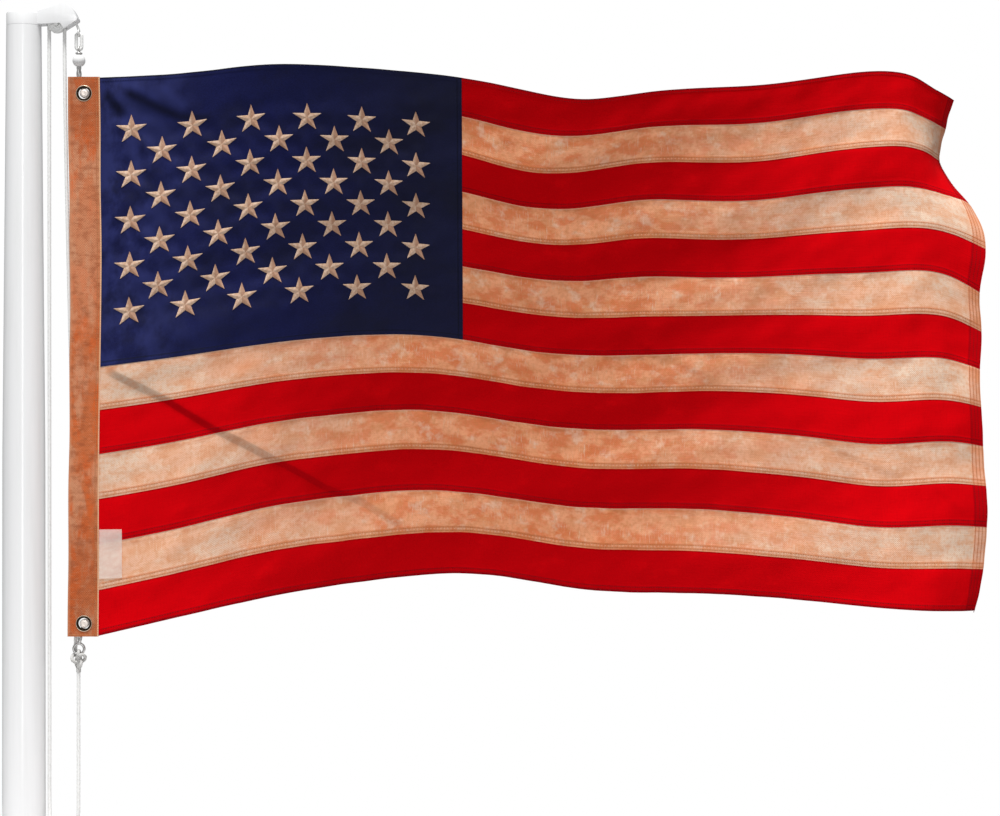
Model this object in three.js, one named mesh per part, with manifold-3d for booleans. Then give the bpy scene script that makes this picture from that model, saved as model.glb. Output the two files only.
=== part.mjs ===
// A weathered cotton flag with thirteen sewn stripes and a starred canton, flying from its pole.
// Millimetres, +Z up. The origin is the middle of the pole's foot; the cloth flies along +X and
// its front faces -Y. Cloth coordinates: u runs along the fly from the heading, v down the hoist.
import * as THREE from 'three';
import { mergeVertices } from 'three/addons/utils/BufferGeometryUtils.js';
import Module from 'manifold-3d';

const wasm = await Module();
wasm.setup();

// Flag, as cut
const HOIST = 914;
const FLY = 1473;
const STRIPES = 13;
const STRIPE = HOIST / STRIPES;
const CANTON_ROWS = 7;
const CANTON_FLY = 600;
const CLOTH_T = 1.4;
const SEAM_T = 2.0;
const SEAM_BAND = 8;
const HEM_BAND = 22;
const BAND_STEP = 1.5;
const GAP = 0.3;
const CELL = 50;

// Stars: rows of six and five by turns
const STAR_ROWS = 9;
const STAR_COLUMNS = 11;
const STAR_FIRST_U = 50;
const STAR_FIRST_V = 90;
const STAR_STEP_U = 47.5;
const STAR_STEP_V = 39;
const STAR_R = 25.5;
const STAR_WAIST = 0.4;
const STAR_RISE = 1.0;
const STAR_ROOT = 0.5;

// Heading strip and its two eyelets
const HEAD_X0 = 76;
const HEAD_X1 = 127;
const HEAD_Y = -8;
const HEAD_T = 2.4;
const HEAD_Z0 = 440;
const HEAD_Z1 = 1353;
const HEAD_EDGE = [[-0.4, 1270], [-0.6, 1200], [0.4, 1120], [0.8, 1040], [0, 960], [-0.4, 880], [0.2, 790],
    [0.6, 700], [-0.6, 620], [-1.2, 540], [0, HEAD_Z0]];
const EYELET_X = 99.8;
const EYELET_TOP_Z = 1326;
const EYELET_LOW_Z = 461.4;
const EYELET_BORE = 9;
const EYELET_BARREL = 10;
const EYELET_FLANGE = 13.2;
const EYELET_LIP = 1.1;
const EYELET_ROLL = 2;

// Label, sewn in at the heading's edge over the eleventh and twelfth stripes
const LABEL_W = 33;
const LABEL_H = 80;
const LABEL_V = 741;
const LABEL_T = 1.0;
const LABEL_COLUMNS = 2;
const LABEL_ROWS = 4;

// Pole, truck and sheave
const POLE_R_FOOT = 35;
const POLE_R_BUTT = 34.4;
const POLE_BUTT_Z = 740;
const POLE_R_TOP = 28.2;
const POLE_Z1 = 1436.7;
const CAP_Z1 = 1460;
const CAP_CROWN = 5;
const CAP_ROUND = 1.4;
const ARM_HALF = 14;
const HOOD_UNDER = [[10, 1438], [62, 1440.6], [67, 1431.5], [88.5, 1445]];
const HOOD_LIP = [89.6, 1449, 87.4, 1452];
const HOOD_BROW = [82, 1468, 70, 1473.4, 59, 1473.4];
const HOOD_NAPE = [46, 1473.4, 40, 1463, 24, 1459.4];
const HOOD_END = [10, 1459.2];
const SHEAVE_X = 54;
const SHEAVE_Z = 1440;
const SHEAVE_RIM = 14.2;
const SHEAVE_HALF = 5.2;
const GROOVE_HALF = 4.5;
const GROOVE_BED = 3;
const GROOVE_RISE = 0.7;
const PIN_R = 3.7;
const ROPE_R = 3;
const LEG_R = 12.5;
const SLOT_ROOM = 1.3;
const SLOT_SIDE = 1;
const SLOT_DEPTH = 40;

// Clips, their loop and knot
const CLIP_X = 90;
const LOOP_X = 90;
const LOOP_TOP = 1425;
const LOOP_LOW = 1398.5;
const LOOP_HALF = 4.4;
const LOOP_R = 2.5;
const EYE_R = 5;
const EYE_SHANK_R = 2;
const EYE_SHANK = [[LOOP_X, 0, 1430.4], [LOOP_X - 2, 0, 1435.5], [LOOP_X - 5, 0, 1441.3]];
const RING_R = 4.4;
const RING_WIRE = 1.5;
const COLLAR_Z = 1392.5;
const COLLAR_R = 5.6;
const COLLAR_H = 2.4;
const BALL_Z = 1380.6;
const BALL_R = 10.4;
const SHANK_R = 2.2;
const SHANK_Z0 = 1368.9;
const SHANK_Z1 = 1395;
const STUD_R = 7.2;
const STUD_LENGTH = 13.6;
const STUD_Y = -3.2;
const TOP_NECK_R = 4.2;
const TOP_NECK = [[CLIP_X, 0, 1369.9], [CLIP_X, 0, 1362], [CLIP_X + 1, 0, 1350], [EYELET_X - 3, 0.5, 1336],
    [EYELET_X, 0.8, EYELET_TOP_Z]];
const BOW_Z = 419;
const BOW_R = 8.6;
const BOW_WIRE = 2.2;
const LOW_NECK_R = 3.8;
const LOW_NECK = [[EYELET_X, 0.8, EYELET_LOW_Z], [EYELET_X - 3.5, 0.5, 451], [CLIP_X + 2.4, 0, 442],
    [CLIP_X + 1, 0, 432], [CLIP_X, 0, BOW_Z + BOW_R]];
const KNOT_X = 89.4;
const KNOT_Z = 394;
const KNOT_HALF = [11, 9, 13];
const BIGHT_R = 5.6;
const BIGHT_WIRE = 2.7;

// Cleat on the pole's side, below the flag
const CLEAT_Z = 85;
const CLEAT_HALF = 6.7;
const PAD_HALF = 28;
const PAD_T = 4.5;
const STEM_HALF = 9.5;
const STEM_ROOT = 14;
const HORN_IN = 23;
const HORN_OUT = 35;
const HORN_LOW = 54;
const HORN_HIGH = 51;

// Draped shape. Each height line lists [u, z] along one seam, named by how many stripes lie above it.
const HEIGHT_LINES = [
    { stripes: 0, line: [[0, 1352], [130, 1357], [260, 1367], [390, 1361], [500, 1352], [600, 1342],
        [700, 1324], [800, 1309], [900, 1320], [1000, 1330], [1100, 1337], [1200, 1351], [1290, 1363],
        [1350, 1359], [1410, 1339], [1473, 1326]] },
    { stripes: 2, line: [[0, 1217], [130, 1226], [260, 1240], [390, 1241], [500, 1236], [600, 1223],
        [700, 1198], [800, 1196], [900, 1210], [1000, 1212], [1100, 1215], [1200, 1229], [1290, 1239],
        [1350, 1239], [1410, 1229], [1473, 1225]] },
    { stripes: 4, line: [[0, 1082], [130, 1095], [260, 1112], [390, 1118], [500, 1117], [600, 1105],
        [700, 1086], [800, 1081], [900, 1091], [1000, 1089], [1100, 1090], [1200, 1098], [1290, 1104],
        [1350, 1107], [1410, 1099], [1473, 1073]] },
    { stripes: 7, line: [[0, 880], [130, 898], [260, 918], [390, 931], [500, 934], [600, 926], [700, 910],
        [800, 901], [1000, 903], [1200, 898], [1290, 893], [1350, 895], [1410, 893], [1473, 876]] },
    { stripes: 10, line: [[0, 665], [130, 690], [260, 720], [390, 736], [500, 744], [600, 739],
        [700, 725], [800, 713], [1000, 712], [1100, 706], [1200, 696], [1290, 686], [1350, 688], [1410, 691],
        [1473, 686]] },
    { stripes: 13, line: [[0, 442], [130, 473], [260, 499], [390, 515], [500, 526], [600, 531], [700, 521],
        [800, 505], [1000, 501], [1200, 494], [1350, 486], [1473, 483]] },
];
const ALONG = [[0, 127.3], [145, 277], [335, 465], [600, 717], [1100, 1205], [1473, 1567]];
const SWAY = [[0, -8], [130, -8], [300, 8], [600, 28], [800, 36], [1000, 24], [1200, -2], [1290, -14],
    [1400, -18], [1473, -10]];
const LEAN = [[0, 0], [100, 14], [200, 60], [300, 140], [420, 205], [600, 222], [800, 222], [950, 180],
    [1080, 105], [1200, 40], [1290, -25], [1370, -55], [1473, -45]];
const LEAN_PIVOT = 0.45;
const CURL_FROM = 1320;
const FLY_SHIFT = [[0, -29], [70, -42], [141, -51], [211, -13], [281, 6], [352, -5], [422, -1], [492, -6],
    [633, -2], [703, 0], [773, 1], [844, -5], [914, -16]];
const FLY_BACK = [[0, 66], [70, 88], [141, 98], [211, 40], [281, 4], [352, 8], [492, 4], [703, 0], [844, 2],
    [914, 14]];

// Halyard: from the knot, up behind the heading, over the sheave, down past the cleat and back to the knot
const HALYARD = [
    [83.4, 6.4, 405.2], [83.2, 6.8, 430], [83.6, 6.8, 452], [84.4, 5, 520], [83.4, 2, 640], [78, 0.6, 840],
    [72.5, 0.3, 1060], [68.5, 0, 1250], [66.6, 0, 1380], [66.5, 0, 1425], [66.5, 0, 1440],
    [62.84, 0, 1448.84], [54, 0, 1452.5],
    [45.16, 0, 1448.84], [41.5, 0, 1440], [41.5, 0, 1425], [41.5, 0, 1380], [41.6, 0, 1100], [41.8, 0, 700],
    [42, 0, 300], [42.2, 0, 160], [44.5, -5, 130], [49, -10.4, 108], [51, -10.8, 84], [51, -9.6, 73],
    [51, 0, 69.6], [51.6, 9.6, 73], [54, 11, 84], [64, 11.2, 101], [80, 7, 122], [88, 1.2, 146],
    [89.2, 0, 175], [89.3, 0, 250], [89.3, 0, 330], [89.4, 0, 380.7],
];
const HALYARD_STEPS = 2;

const COLOURS = {
    red: 0xa8060c, cream: 0xe0bd98, navy: 0x1c2050, heading: 0xb8653c, label: 0xf0e2d8, brass: 0x8f8574,
    white: 0xe9e9ea, rope: 0xf1f1ee, steel: 0x9a9b9d,
};

function finish(colour, roughness, metalness = 0) {
    return new THREE.MeshStandardMaterial({ color: COLOURS[colour], roughness, metalness });
}

// Natural cubic curve through hand-placed [at, value] points
function smoothCurve(points) {
    const n = points.length;
    const bend = new Array(n).fill(0);
    const work = new Array(n).fill(0);
    for (let i = 1; i < n - 1; i += 1) {
        const before = points[i][0] - points[i - 1][0];
        const after = points[i + 1][0] - points[i][0];
        const share = before / (before + after);
        const pivot = share * bend[i - 1] + 2;
        const rise = (points[i + 1][1] - points[i][1]) / after - (points[i][1] - points[i - 1][1]) / before;
        bend[i] = (share - 1) / pivot;
        work[i] = (6 * rise / (before + after) - share * work[i - 1]) / pivot;
    }
    bend[n - 1] = 0;
    for (let i = n - 2; i >= 0; i -= 1) bend[i] = bend[i] * bend[i + 1] + work[i];
    return (at) => {
        let i = 0;
        while (i < n - 2 && at > points[i + 1][0]) i += 1;
        const span = points[i + 1][0] - points[i][0];
        const b = (at - points[i][0]) / span;
        const a = 1 - b;
        const curve = ((a ** 3 - a) * bend[i] + (b ** 3 - b) * bend[i + 1]) * span * span / 6;
        return a * points[i][1] + b * points[i + 1][1] + curve;
    };
}

const along = smoothCurve(ALONG);
const sway = smoothCurve(SWAY);
const lean = smoothCurve(LEAN);
const flyShift = smoothCurve(FLY_SHIFT);
const flyBack = smoothCurve(FLY_BACK);
const heights = HEIGHT_LINES.map(({ stripes, line }) => ({ v: stripes * STRIPE, curve: smoothCurve(line) }));

function clothPoint(u, v) {
    const curl = Math.max(0, (u - CURL_FROM) / (FLY - CURL_FROM)) ** 2;
    const z = smoothCurve(heights.map((line) => [line.v, line.curve(u)]))(v);
    const y = sway(u) + lean(u) * (v / HOIST - LEAN_PIVOT) + flyBack(v) * curl;
    return new THREE.Vector3(along(u) + flyShift(v) * curl, y, z);
}

// Point at a height above the middle of the cloth, on its front side
function clothAt(u, v, rise) {
    const step = 2;
    const alongFly = clothPoint(u + step, v).sub(clothPoint(u - step, v));
    const downHoist = clothPoint(u, v + step).sub(clothPoint(u, v - step));
    const front = alongFly.cross(downHoist).normalize().multiplyScalar(-1);
    if (front.y > 0) front.multiplyScalar(-1);
    return clothPoint(u, v).addScaledVector(front, rise);
}

function asGeometry(positions, faces) {
    const geometry = new THREE.BufferGeometry();
    geometry.setAttribute('position', new THREE.Float32BufferAttribute(positions, 3));
    geometry.setIndex(faces);
    return geometry;
}

// Stops along one direction, on a grid that neighbours share, with the seam or hem band as a cell of its own
function stops(from, to, band, cell) {
    const body = to - band;
    const list = [from];
    for (let at = cell; at < body - cell / 3; at += cell) {
        if (at > from + cell / 3) list.push(at);
    }
    list.push(body);
    if (band > 0) list.push(body + BAND_STEP, to);
    return list;
}

function evenStops(from, to, cells) {
    return Array.from({ length: cells + 1 }, (_, i) => from + (to - from) * i / cells);
}

// Closed sheet on the draped surface; riseOf gives the height of its front (side 1) and back (side -1)
function closedSheet(us, vs, riseOf) {
    const positions = [];
    for (const side of [1, -1]) {
        for (const v of vs) {
            for (const u of us) positions.push(...clothAt(u, v, riseOf(side, u, v)).toArray());
        }
    }
    const wide = us.length;
    const high = vs.length;
    const back = wide * high;
    const faces = [];
    const quad = (a, b, c, d) => faces.push(a, b, c, a, c, d);
    for (let j = 0; j < high - 1; j += 1) {
        for (let i = 0; i < wide - 1; i += 1) {
            const a = j * wide + i;
            quad(a, a + wide, a + wide + 1, a + 1);
            quad(back + a, back + a + 1, back + a + wide + 1, back + a + wide);
        }
        const left = j * wide;
        const right = left + wide - 1;
        quad(left, back + left, back + left + wide, left + wide);
        quad(right, right + wide, back + right + wide, back + right);
    }
    for (let i = 0; i < wide - 1; i += 1) {
        const low = (high - 1) * wide + i;
        quad(i, i + 1, back + i + 1, back + i);
        quad(low, back + low, back + low + 1, low + 1);
    }
    return asGeometry(positions, faces);
}

// Panel of cloth, thicker in its seam and hem bands
function clothPanel(u0, u1, v0, v1, hem, seam) {
    const folded = (u, v) => (hem > 0 && u > u1 - hem) || (seam > 0 && v > v1 - seam);
    const us = stops(u0, u1, hem, CELL);
    const vs = stops(v0, v1, seam, STRIPE);
    return closedSheet(us, vs, (side, u, v) => side * (folded(u, v) ? SEAM_T : CLOTH_T) / 2);
}

// Raised five-pointed star, tips and waists by turns, standing on the canton
function starPrism(u, v) {
    const positions = [];
    for (const rise of [CLOTH_T / 2 + STAR_RISE, CLOTH_T / 2 - STAR_ROOT]) {
        for (let i = 0; i < 10; i += 1) {
            const reach = i % 2 ? STAR_R * STAR_WAIST : STAR_R;
            const angle = Math.PI * i / 5;
            const point = clothAt(u + reach * Math.sin(angle), v - reach * Math.cos(angle), rise);
            positions.push(...point.toArray());
        }
    }
    const faces = [];
    for (let i = 0; i < 10; i += 1) {
        const next = (i + 1) % 10;
        faces.push(i, next, 10 + next, i, 10 + next, 10 + i);
    }
    for (let tip = 0; tip < 10; tip += 2) {
        const before = (tip + 9) % 10;
        faces.push(tip, before, tip + 1, 10 + tip, 10 + tip + 1, 10 + before);
    }
    for (const [a, b, c] of [[9, 7, 1], [7, 3, 1], [7, 5, 3]]) faces.push(a, b, c, 10 + a, 10 + c, 10 + b);
    return asGeometry(positions, faces);
}

function toSolid(geometry) {
    let plain = geometry.clone();
    plain.deleteAttribute('normal');
    plain.deleteAttribute('uv');
    plain = mergeVertices(plain, 1e-4);
    return new wasm.Manifold(new wasm.Mesh({
        numProp: 3,
        vertProperties: new Float32Array(plain.attributes.position.array),
        triVerts: new Uint32Array(plain.index.array),
    }));
}

function fromSolid(solid) {
    const mesh = solid.getMesh();
    return asGeometry(Array.from(mesh.vertProperties), Array.from(mesh.triVerts));
}

function joined(...geometries) {
    return fromSolid(geometries.map(toSolid).reduce((whole, next) => whole.add(next)));
}

function cut(geometry, ...tools) {
    return fromSolid(tools.map(toSolid).reduce((whole, tool) => whole.subtract(tool), toSolid(geometry)));
}

// Cylinder along Z from its middle, then turned and moved
function rod(radius, length, x, y, z, axis = 'z', sides = 20) {
    const geometry = new THREE.CylinderGeometry(radius, radius, length, sides);
    if (axis === 'z') geometry.rotateX(Math.PI / 2);
    if (axis === 'x') geometry.rotateZ(Math.PI / 2);
    return geometry.translate(x, y, z);
}

function turned(profile, sides) {
    return new THREE.LatheGeometry(profile.map((p) => new THREE.Vector2(...p)), sides);
}

// Ring of wire; its plane faces the named axis
function ring(radius, wire, x, y, z, facing) {
    const geometry = new THREE.TorusGeometry(radius, wire, 8, 16);
    if (facing === 'y') geometry.rotateX(Math.PI / 2);
    if (facing === 'x') geometry.rotateY(Math.PI / 2);
    return geometry.translate(x, y, z);
}

// Path whose steps follow its points, so that short bends get as many steps as long runs
class RouteCurve extends THREE.CatmullRomCurve3 {
    getPointAt(t, target) {
        return this.getPoint(t, target);
    }

    getTangentAt(t, target) {
        return this.getTangent(t, target);
    }

    getSpacedPoints(divisions) {
        return this.getPoints(divisions);
    }
}

function tube(points, radius, sides, stepsEach) {
    const path = new RouteCurve(points.map((p) => new THREE.Vector3(...p)), false, 'centripetal');
    const section = new THREE.Shape();
    section.absarc(0, 0, radius, 0, Math.PI * 2);
    return new THREE.ExtrudeGeometry(section, {
        steps: (points.length - 1) * stepsEach,
        curveSegments: sides / 2,
        bevelEnabled: false,
        extrudePath: path,
    });
}

// Flat outline in X and Z, given thickness along Y and centred there
function slabFromOutline(shape, thickness, y, curveSegments = 10) {
    const depth = thickness;
    const geometry = new THREE.ExtrudeGeometry(shape, { depth, bevelEnabled: false, curveSegments });
    return geometry.rotateX(Math.PI / 2).translate(0, y + thickness / 2, 0);
}

function headingStrip() {
    const shape = new THREE.Shape();
    shape.moveTo(HEAD_X1, HEAD_Z0 + 1);
    shape.lineTo(HEAD_X1, HEAD_Z1 - 1);
    shape.lineTo(HEAD_X0, HEAD_Z1);
    for (const [offset, z] of HEAD_EDGE) shape.lineTo(HEAD_X0 + offset, z);
    for (const z of [EYELET_TOP_Z, EYELET_LOW_Z]) {
        const hole = new THREE.Path();
        hole.absarc(EYELET_X, z, EYELET_BARREL + GAP, 0, Math.PI * 2, true);
        shape.holes.push(hole);
    }
    return slabFromOutline(shape, HEAD_T, HEAD_Y, 16);
}

// Rolled metal eyelet: a barrel through the heading with a flange on each face
function eyelet(z) {
    const inside = HEAD_T / 2 + GAP;
    const outside = inside + EYELET_LIP;
    const profile = [
        [EYELET_BORE, -inside], [EYELET_BORE + EYELET_ROLL, -outside], [EYELET_FLANGE, -inside],
        [EYELET_BARREL, -inside], [EYELET_BARREL, inside],
        [EYELET_FLANGE, inside], [EYELET_BORE + EYELET_ROLL, outside], [EYELET_BORE, inside],
        [EYELET_BORE, -inside],
    ];
    return turned(profile, 24).translate(EYELET_X, HEAD_Y, z);
}

function canton() {
    let solid = toSolid(clothPanel(GAP, CANTON_FLY - GAP, 0, CANTON_ROWS * STRIPE - GAP, 0, 0));
    for (let row = 0; row < STAR_ROWS; row += 1) {
        for (let column = row % 2; column < STAR_COLUMNS; column += 2) {
            const star = starPrism(STAR_FIRST_U + column * STAR_STEP_U, STAR_FIRST_V + row * STAR_STEP_V);
            solid = solid.add(toSolid(star));
        }
    }
    return fromSolid(solid);
}

function stripe(index) {
    const start = index < CANTON_ROWS ? CANTON_FLY : GAP;
    return clothPanel(start, FLY, index * STRIPE, (index + 1) * STRIPE - GAP, HEM_BAND, SEAM_BAND);
}

function label() {
    const us = evenStops(GAP, GAP + LABEL_W, LABEL_COLUMNS);
    const vs = evenStops(LABEL_V, LABEL_V + LABEL_H, LABEL_ROWS);
    const lift = SEAM_T / 2 + GAP;
    return closedSheet(us, vs, (side) => (side > 0 ? lift + LABEL_T : lift));
}

// Pole with an almost straight lower half and a tapered upper half
function pole() {
    const side = [[POLE_R_FOOT, 0], [POLE_R_BUTT, POLE_BUTT_Z], [POLE_R_TOP, POLE_Z1]];
    return turned([[0, 0], ...side, [0, POLE_Z1]], 48).rotateX(Math.PI / 2);
}

// Cast truck: a cap on the pole with an arm whose hood covers the sheave
function truck() {
    const low = POLE_Z1 + GAP;
    const cap = turned([
        [0, low], [POLE_R_TOP, low], [POLE_R_TOP, CAP_Z1 - CAP_CROWN],
        [POLE_R_TOP - CAP_ROUND, CAP_Z1 - CAP_ROUND], [POLE_R_TOP - CAP_CROWN, CAP_Z1], [0, CAP_Z1],
    ], 48).rotateX(Math.PI / 2);
    const hood = new THREE.Shape();
    hood.moveTo(...HOOD_UNDER[0]);
    for (const corner of HOOD_UNDER.slice(1)) hood.lineTo(...corner);
    hood.quadraticCurveTo(...HOOD_LIP);
    hood.bezierCurveTo(...HOOD_BROW);
    hood.bezierCurveTo(...HOOD_NAPE);
    hood.lineTo(...HOOD_END);
    hood.closePath();
    const arm = slabFromOutline(hood, ARM_HALF * 2, 0, 8);
    const room = LEG_R + ROPE_R + SLOT_ROOM;
    const wide = (SHEAVE_HALF + SLOT_SIDE) * 2;
    const slot = new THREE.BoxGeometry(room * 2, wide, SLOT_DEPTH);
    slot.translate(SHEAVE_X, 0, SHEAVE_Z - SLOT_DEPTH / 2);
    const vault = rod(room, wide, SHEAVE_X, 0, SHEAVE_Z, 'y', 28);
    return cut(joined(cap, arm), slot, vault, rod(PIN_R + GAP, ARM_HALF * 4, SHEAVE_X, 0, SHEAVE_Z, 'y'));
}

function sheave() {
    const bore = PIN_R + GAP;
    const groove = LEG_R - ROPE_R - GAP * 2;
    const wheel = turned([
        [bore, -SHEAVE_HALF], [SHEAVE_RIM, -SHEAVE_HALF], [SHEAVE_RIM, -GROOVE_HALF],
        [groove + GROOVE_RISE, -GROOVE_BED], [groove, 0], [groove + GROOVE_RISE, GROOVE_BED],
        [SHEAVE_RIM, GROOVE_HALF], [SHEAVE_RIM, SHEAVE_HALF], [bore, SHEAVE_HALF], [bore, -SHEAVE_HALF],
    ], 28);
    return wheel.translate(SHEAVE_X, 0, SHEAVE_Z);
}

// Eye under the arm's lip that the short loop hangs in
function truckEye() {
    const shank = tube(EYE_SHANK, EYE_SHANK_R, 10, 3);
    return joined(shank, ring(EYE_R, RING_WIRE, LOOP_X, 0, LOOP_TOP + 0.7, 'x'));
}

// Short endless loop of rope, a stretched ring in the X and Z plane
function topLoop() {
    const geometry = ring(LOOP_HALF, LOOP_R, 0, 0, 0, 'y');
    const spread = (LOOP_TOP - LOOP_LOW) / 2 - LOOP_HALF;
    const position = geometry.attributes.position;
    for (let i = 0; i < position.count; i += 1) {
        const z = position.getZ(i);
        if (Math.abs(z) > 1e-6) position.setZ(i, z + Math.sign(z) * spread);
    }
    return geometry.translate(LOOP_X, 0, (LOOP_TOP + LOOP_LOW) / 2);
}

function clipBall() {
    return cut(
        new THREE.SphereGeometry(BALL_R, 20, 12).translate(CLIP_X, 0, BALL_Z),
        rod(SHANK_R + GAP, BALL_R * 3, CLIP_X, 0, BALL_Z, 'z', 12),
    );
}

// Round-headed stud through an eyelet
function stud(z) {
    return rod(STUD_R, STUD_LENGTH, EYELET_X, STUD_Y, z, 'y', 24);
}

// Upper snap: swivel ring, collar, shank through the ball, neck and a stud through the eyelet
function clipTop() {
    return joined(
        ring(RING_R, RING_WIRE, CLIP_X, 0, LOOP_LOW - 0.1, 'x'),
        rod(SHANK_R, SHANK_Z1 - SHANK_Z0, CLIP_X, 0, (SHANK_Z1 + SHANK_Z0) / 2, 'z', 12),
        rod(COLLAR_R, COLLAR_H, CLIP_X, 0, COLLAR_Z),
        tube(TOP_NECK, TOP_NECK_R, 10, 3),
        stud(EYELET_TOP_Z + EYELET_BORE - STUD_R - GAP),
    );
}

// Lower snap: a stud through the eyelet, neck and bow for the rope
function clipLow() {
    return joined(
        tube(LOW_NECK, LOW_NECK_R, 10, 3),
        ring(BOW_R, BOW_WIRE, CLIP_X, 0, BOW_Z, 'y'),
        stud(EYELET_LOW_Z - EYELET_BORE + STUD_R + GAP),
    );
}

// Knot of the halyard on the lower snap's bow
function knot() {
    const lump = new THREE.SphereGeometry(1, 16, 10).rotateX(Math.PI / 2).scale(...KNOT_HALF);
    lump.translate(KNOT_X, 0, KNOT_Z);
    return joined(lump, ring(BIGHT_R, BIGHT_WIRE, CLIP_X, 0, BOW_Z - BOW_R - 0.2, 'x'));
}

// Horn cleat on the pole's side
function cleat() {
    const foot = POLE_R_FOOT + (POLE_R_BUTT - POLE_R_FOOT) * (CLEAT_Z - PAD_HALF) / POLE_BUTT_Z + GAP;
    const tip = foot + HORN_OUT - 2;
    const back = foot + HORN_IN + 8;
    const shape = new THREE.Shape();
    shape.moveTo(foot, CLEAT_Z - PAD_HALF);
    shape.lineTo(foot + PAD_T, CLEAT_Z - PAD_HALF + 2);
    shape.quadraticCurveTo(foot + PAD_T + 2.5, CLEAT_Z - 12, foot + STEM_ROOT, CLEAT_Z - STEM_HALF);
    shape.lineTo(foot + HORN_IN, CLEAT_Z - STEM_HALF);
    shape.quadraticCurveTo(foot + HORN_IN + 1, CLEAT_Z - 30, foot + HORN_IN + 5, CLEAT_Z - HORN_LOW);
    shape.quadraticCurveTo(back, CLEAT_Z - HORN_LOW - 3, tip, CLEAT_Z - HORN_LOW + 1);
    shape.quadraticCurveTo(foot + HORN_OUT, CLEAT_Z - 20, foot + HORN_OUT, CLEAT_Z);
    shape.quadraticCurveTo(foot + HORN_OUT, CLEAT_Z + 20, tip, CLEAT_Z + HORN_HIGH - 1);
    shape.quadraticCurveTo(back, CLEAT_Z + HORN_HIGH + 2, foot + HORN_IN + 5, CLEAT_Z + HORN_HIGH);
    shape.quadraticCurveTo(foot + HORN_IN + 1, CLEAT_Z + 30, foot + HORN_IN, CLEAT_Z + STEM_HALF);
    shape.lineTo(foot + STEM_ROOT, CLEAT_Z + STEM_HALF);
    shape.quadraticCurveTo(foot + PAD_T + 2.5, CLEAT_Z + 12, foot + PAD_T, CLEAT_Z + PAD_HALF - 2);
    shape.lineTo(foot, CLEAT_Z + PAD_HALF);
    shape.closePath();
    return slabFromOutline(shape, CLEAT_HALF * 2, 0, 4);
}

const flag = new THREE.Group();

function add(name, geometry, material) {
    const mesh = new THREE.Mesh(geometry, material);
    mesh.name = name;
    flag.add(mesh);
}

add('pole', pole(), finish('white', 0.35, 0.2));
add('truck', truck(), finish('white', 0.4, 0.2));
add('sheave', sheave(), finish('steel', 0.4, 0.6));
add('sheave_pin', rod(PIN_R, ARM_HALF * 2, SHEAVE_X, 0, SHEAVE_Z, 'y'), finish('steel', 0.35, 0.8));
add('truck_eye', truckEye(), finish('steel', 0.35, 0.8));
add('cleat', cleat(), finish('white', 0.4, 0.2));
add('top_loop', topLoop(), finish('rope', 0.8));
add('clip_top', clipTop(), finish('steel', 0.35, 0.8));
add('clip_ball', clipBall(), finish('white', 0.4));
add('clip_low', clipLow(), finish('steel', 0.35, 0.8));
add('halyard', tube(HALYARD, ROPE_R, 8, HALYARD_STEPS), finish('rope', 0.8));
add('halyard_knot', knot(), finish('rope', 0.8));
add('heading', headingStrip(), finish('heading', 0.9));
add('eyelet_top', eyelet(EYELET_TOP_Z), finish('brass', 0.35, 0.9));
add('eyelet_low', eyelet(EYELET_LOW_Z), finish('brass', 0.35, 0.9));
add('canton', canton(), finish('navy', 0.75));
for (let index = 0; index < STRIPES; index += 1) {
    const name = `stripe_${String(index + 1).padStart(2, '0')}`;
    add(name, stripe(index), finish(index % 2 ? 'cream' : 'red', 0.85));
}
add('label', label(), finish('label', 0.5));

export default flag;
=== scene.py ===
"""Looks of a weathered, sewn flag that flies from the top length of its pole.

Sizes are millimetres until a mesh is made, then metres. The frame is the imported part's own: the origin is
the middle of the pole's foot, +Z runs up the pole, +X along the fly and -Y out of the flag's front. Cloth
coordinates are u along the fly from the heading, and v down the hoist from the top edge.
"""

import logging
import math
from dataclasses import dataclass, field
from enum import Enum
from typing import Any, Callable, Sequence

import bpy
import numpy as np
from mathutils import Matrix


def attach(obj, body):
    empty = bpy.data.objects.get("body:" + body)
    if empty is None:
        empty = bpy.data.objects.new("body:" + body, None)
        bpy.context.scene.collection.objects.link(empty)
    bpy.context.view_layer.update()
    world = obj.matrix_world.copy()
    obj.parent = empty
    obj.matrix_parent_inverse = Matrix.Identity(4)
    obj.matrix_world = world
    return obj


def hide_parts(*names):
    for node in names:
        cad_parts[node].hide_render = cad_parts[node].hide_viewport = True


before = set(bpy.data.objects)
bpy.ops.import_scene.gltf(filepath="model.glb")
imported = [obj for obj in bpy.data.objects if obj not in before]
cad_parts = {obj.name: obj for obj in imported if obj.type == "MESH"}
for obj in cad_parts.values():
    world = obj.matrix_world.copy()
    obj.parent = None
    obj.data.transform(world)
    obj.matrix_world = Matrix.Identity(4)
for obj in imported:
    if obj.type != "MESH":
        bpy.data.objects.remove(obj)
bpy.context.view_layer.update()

MM = 0.001
BODY = "root"
Rows = np.ndarray
Pair = tuple[float, float]
Place = tuple[float, float, float]
Material = bpy.types.Material
Object = bpy.types.Object
Socket = bpy.types.NodeSocket
log = logging.getLogger("flag")


# Shared helpers


def linear(hex_colour: str) -> tuple[float, float, float, float]:
    """Turn an sRGB hex value into the linear colour that a shader takes.

    Args:
        hex_colour: Six hex digits, such as "b80a10".

    Returns:
        Linear red, green, blue and an alpha of one.
    """
    parts = [int(hex_colour[i : i + 2], 16) / 255 for i in (0, 2, 4)]
    return (*[p / 12.92 if p <= 0.04045 else ((p + 0.055) / 1.055) ** 2.4 for p in parts], 1.0)


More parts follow.
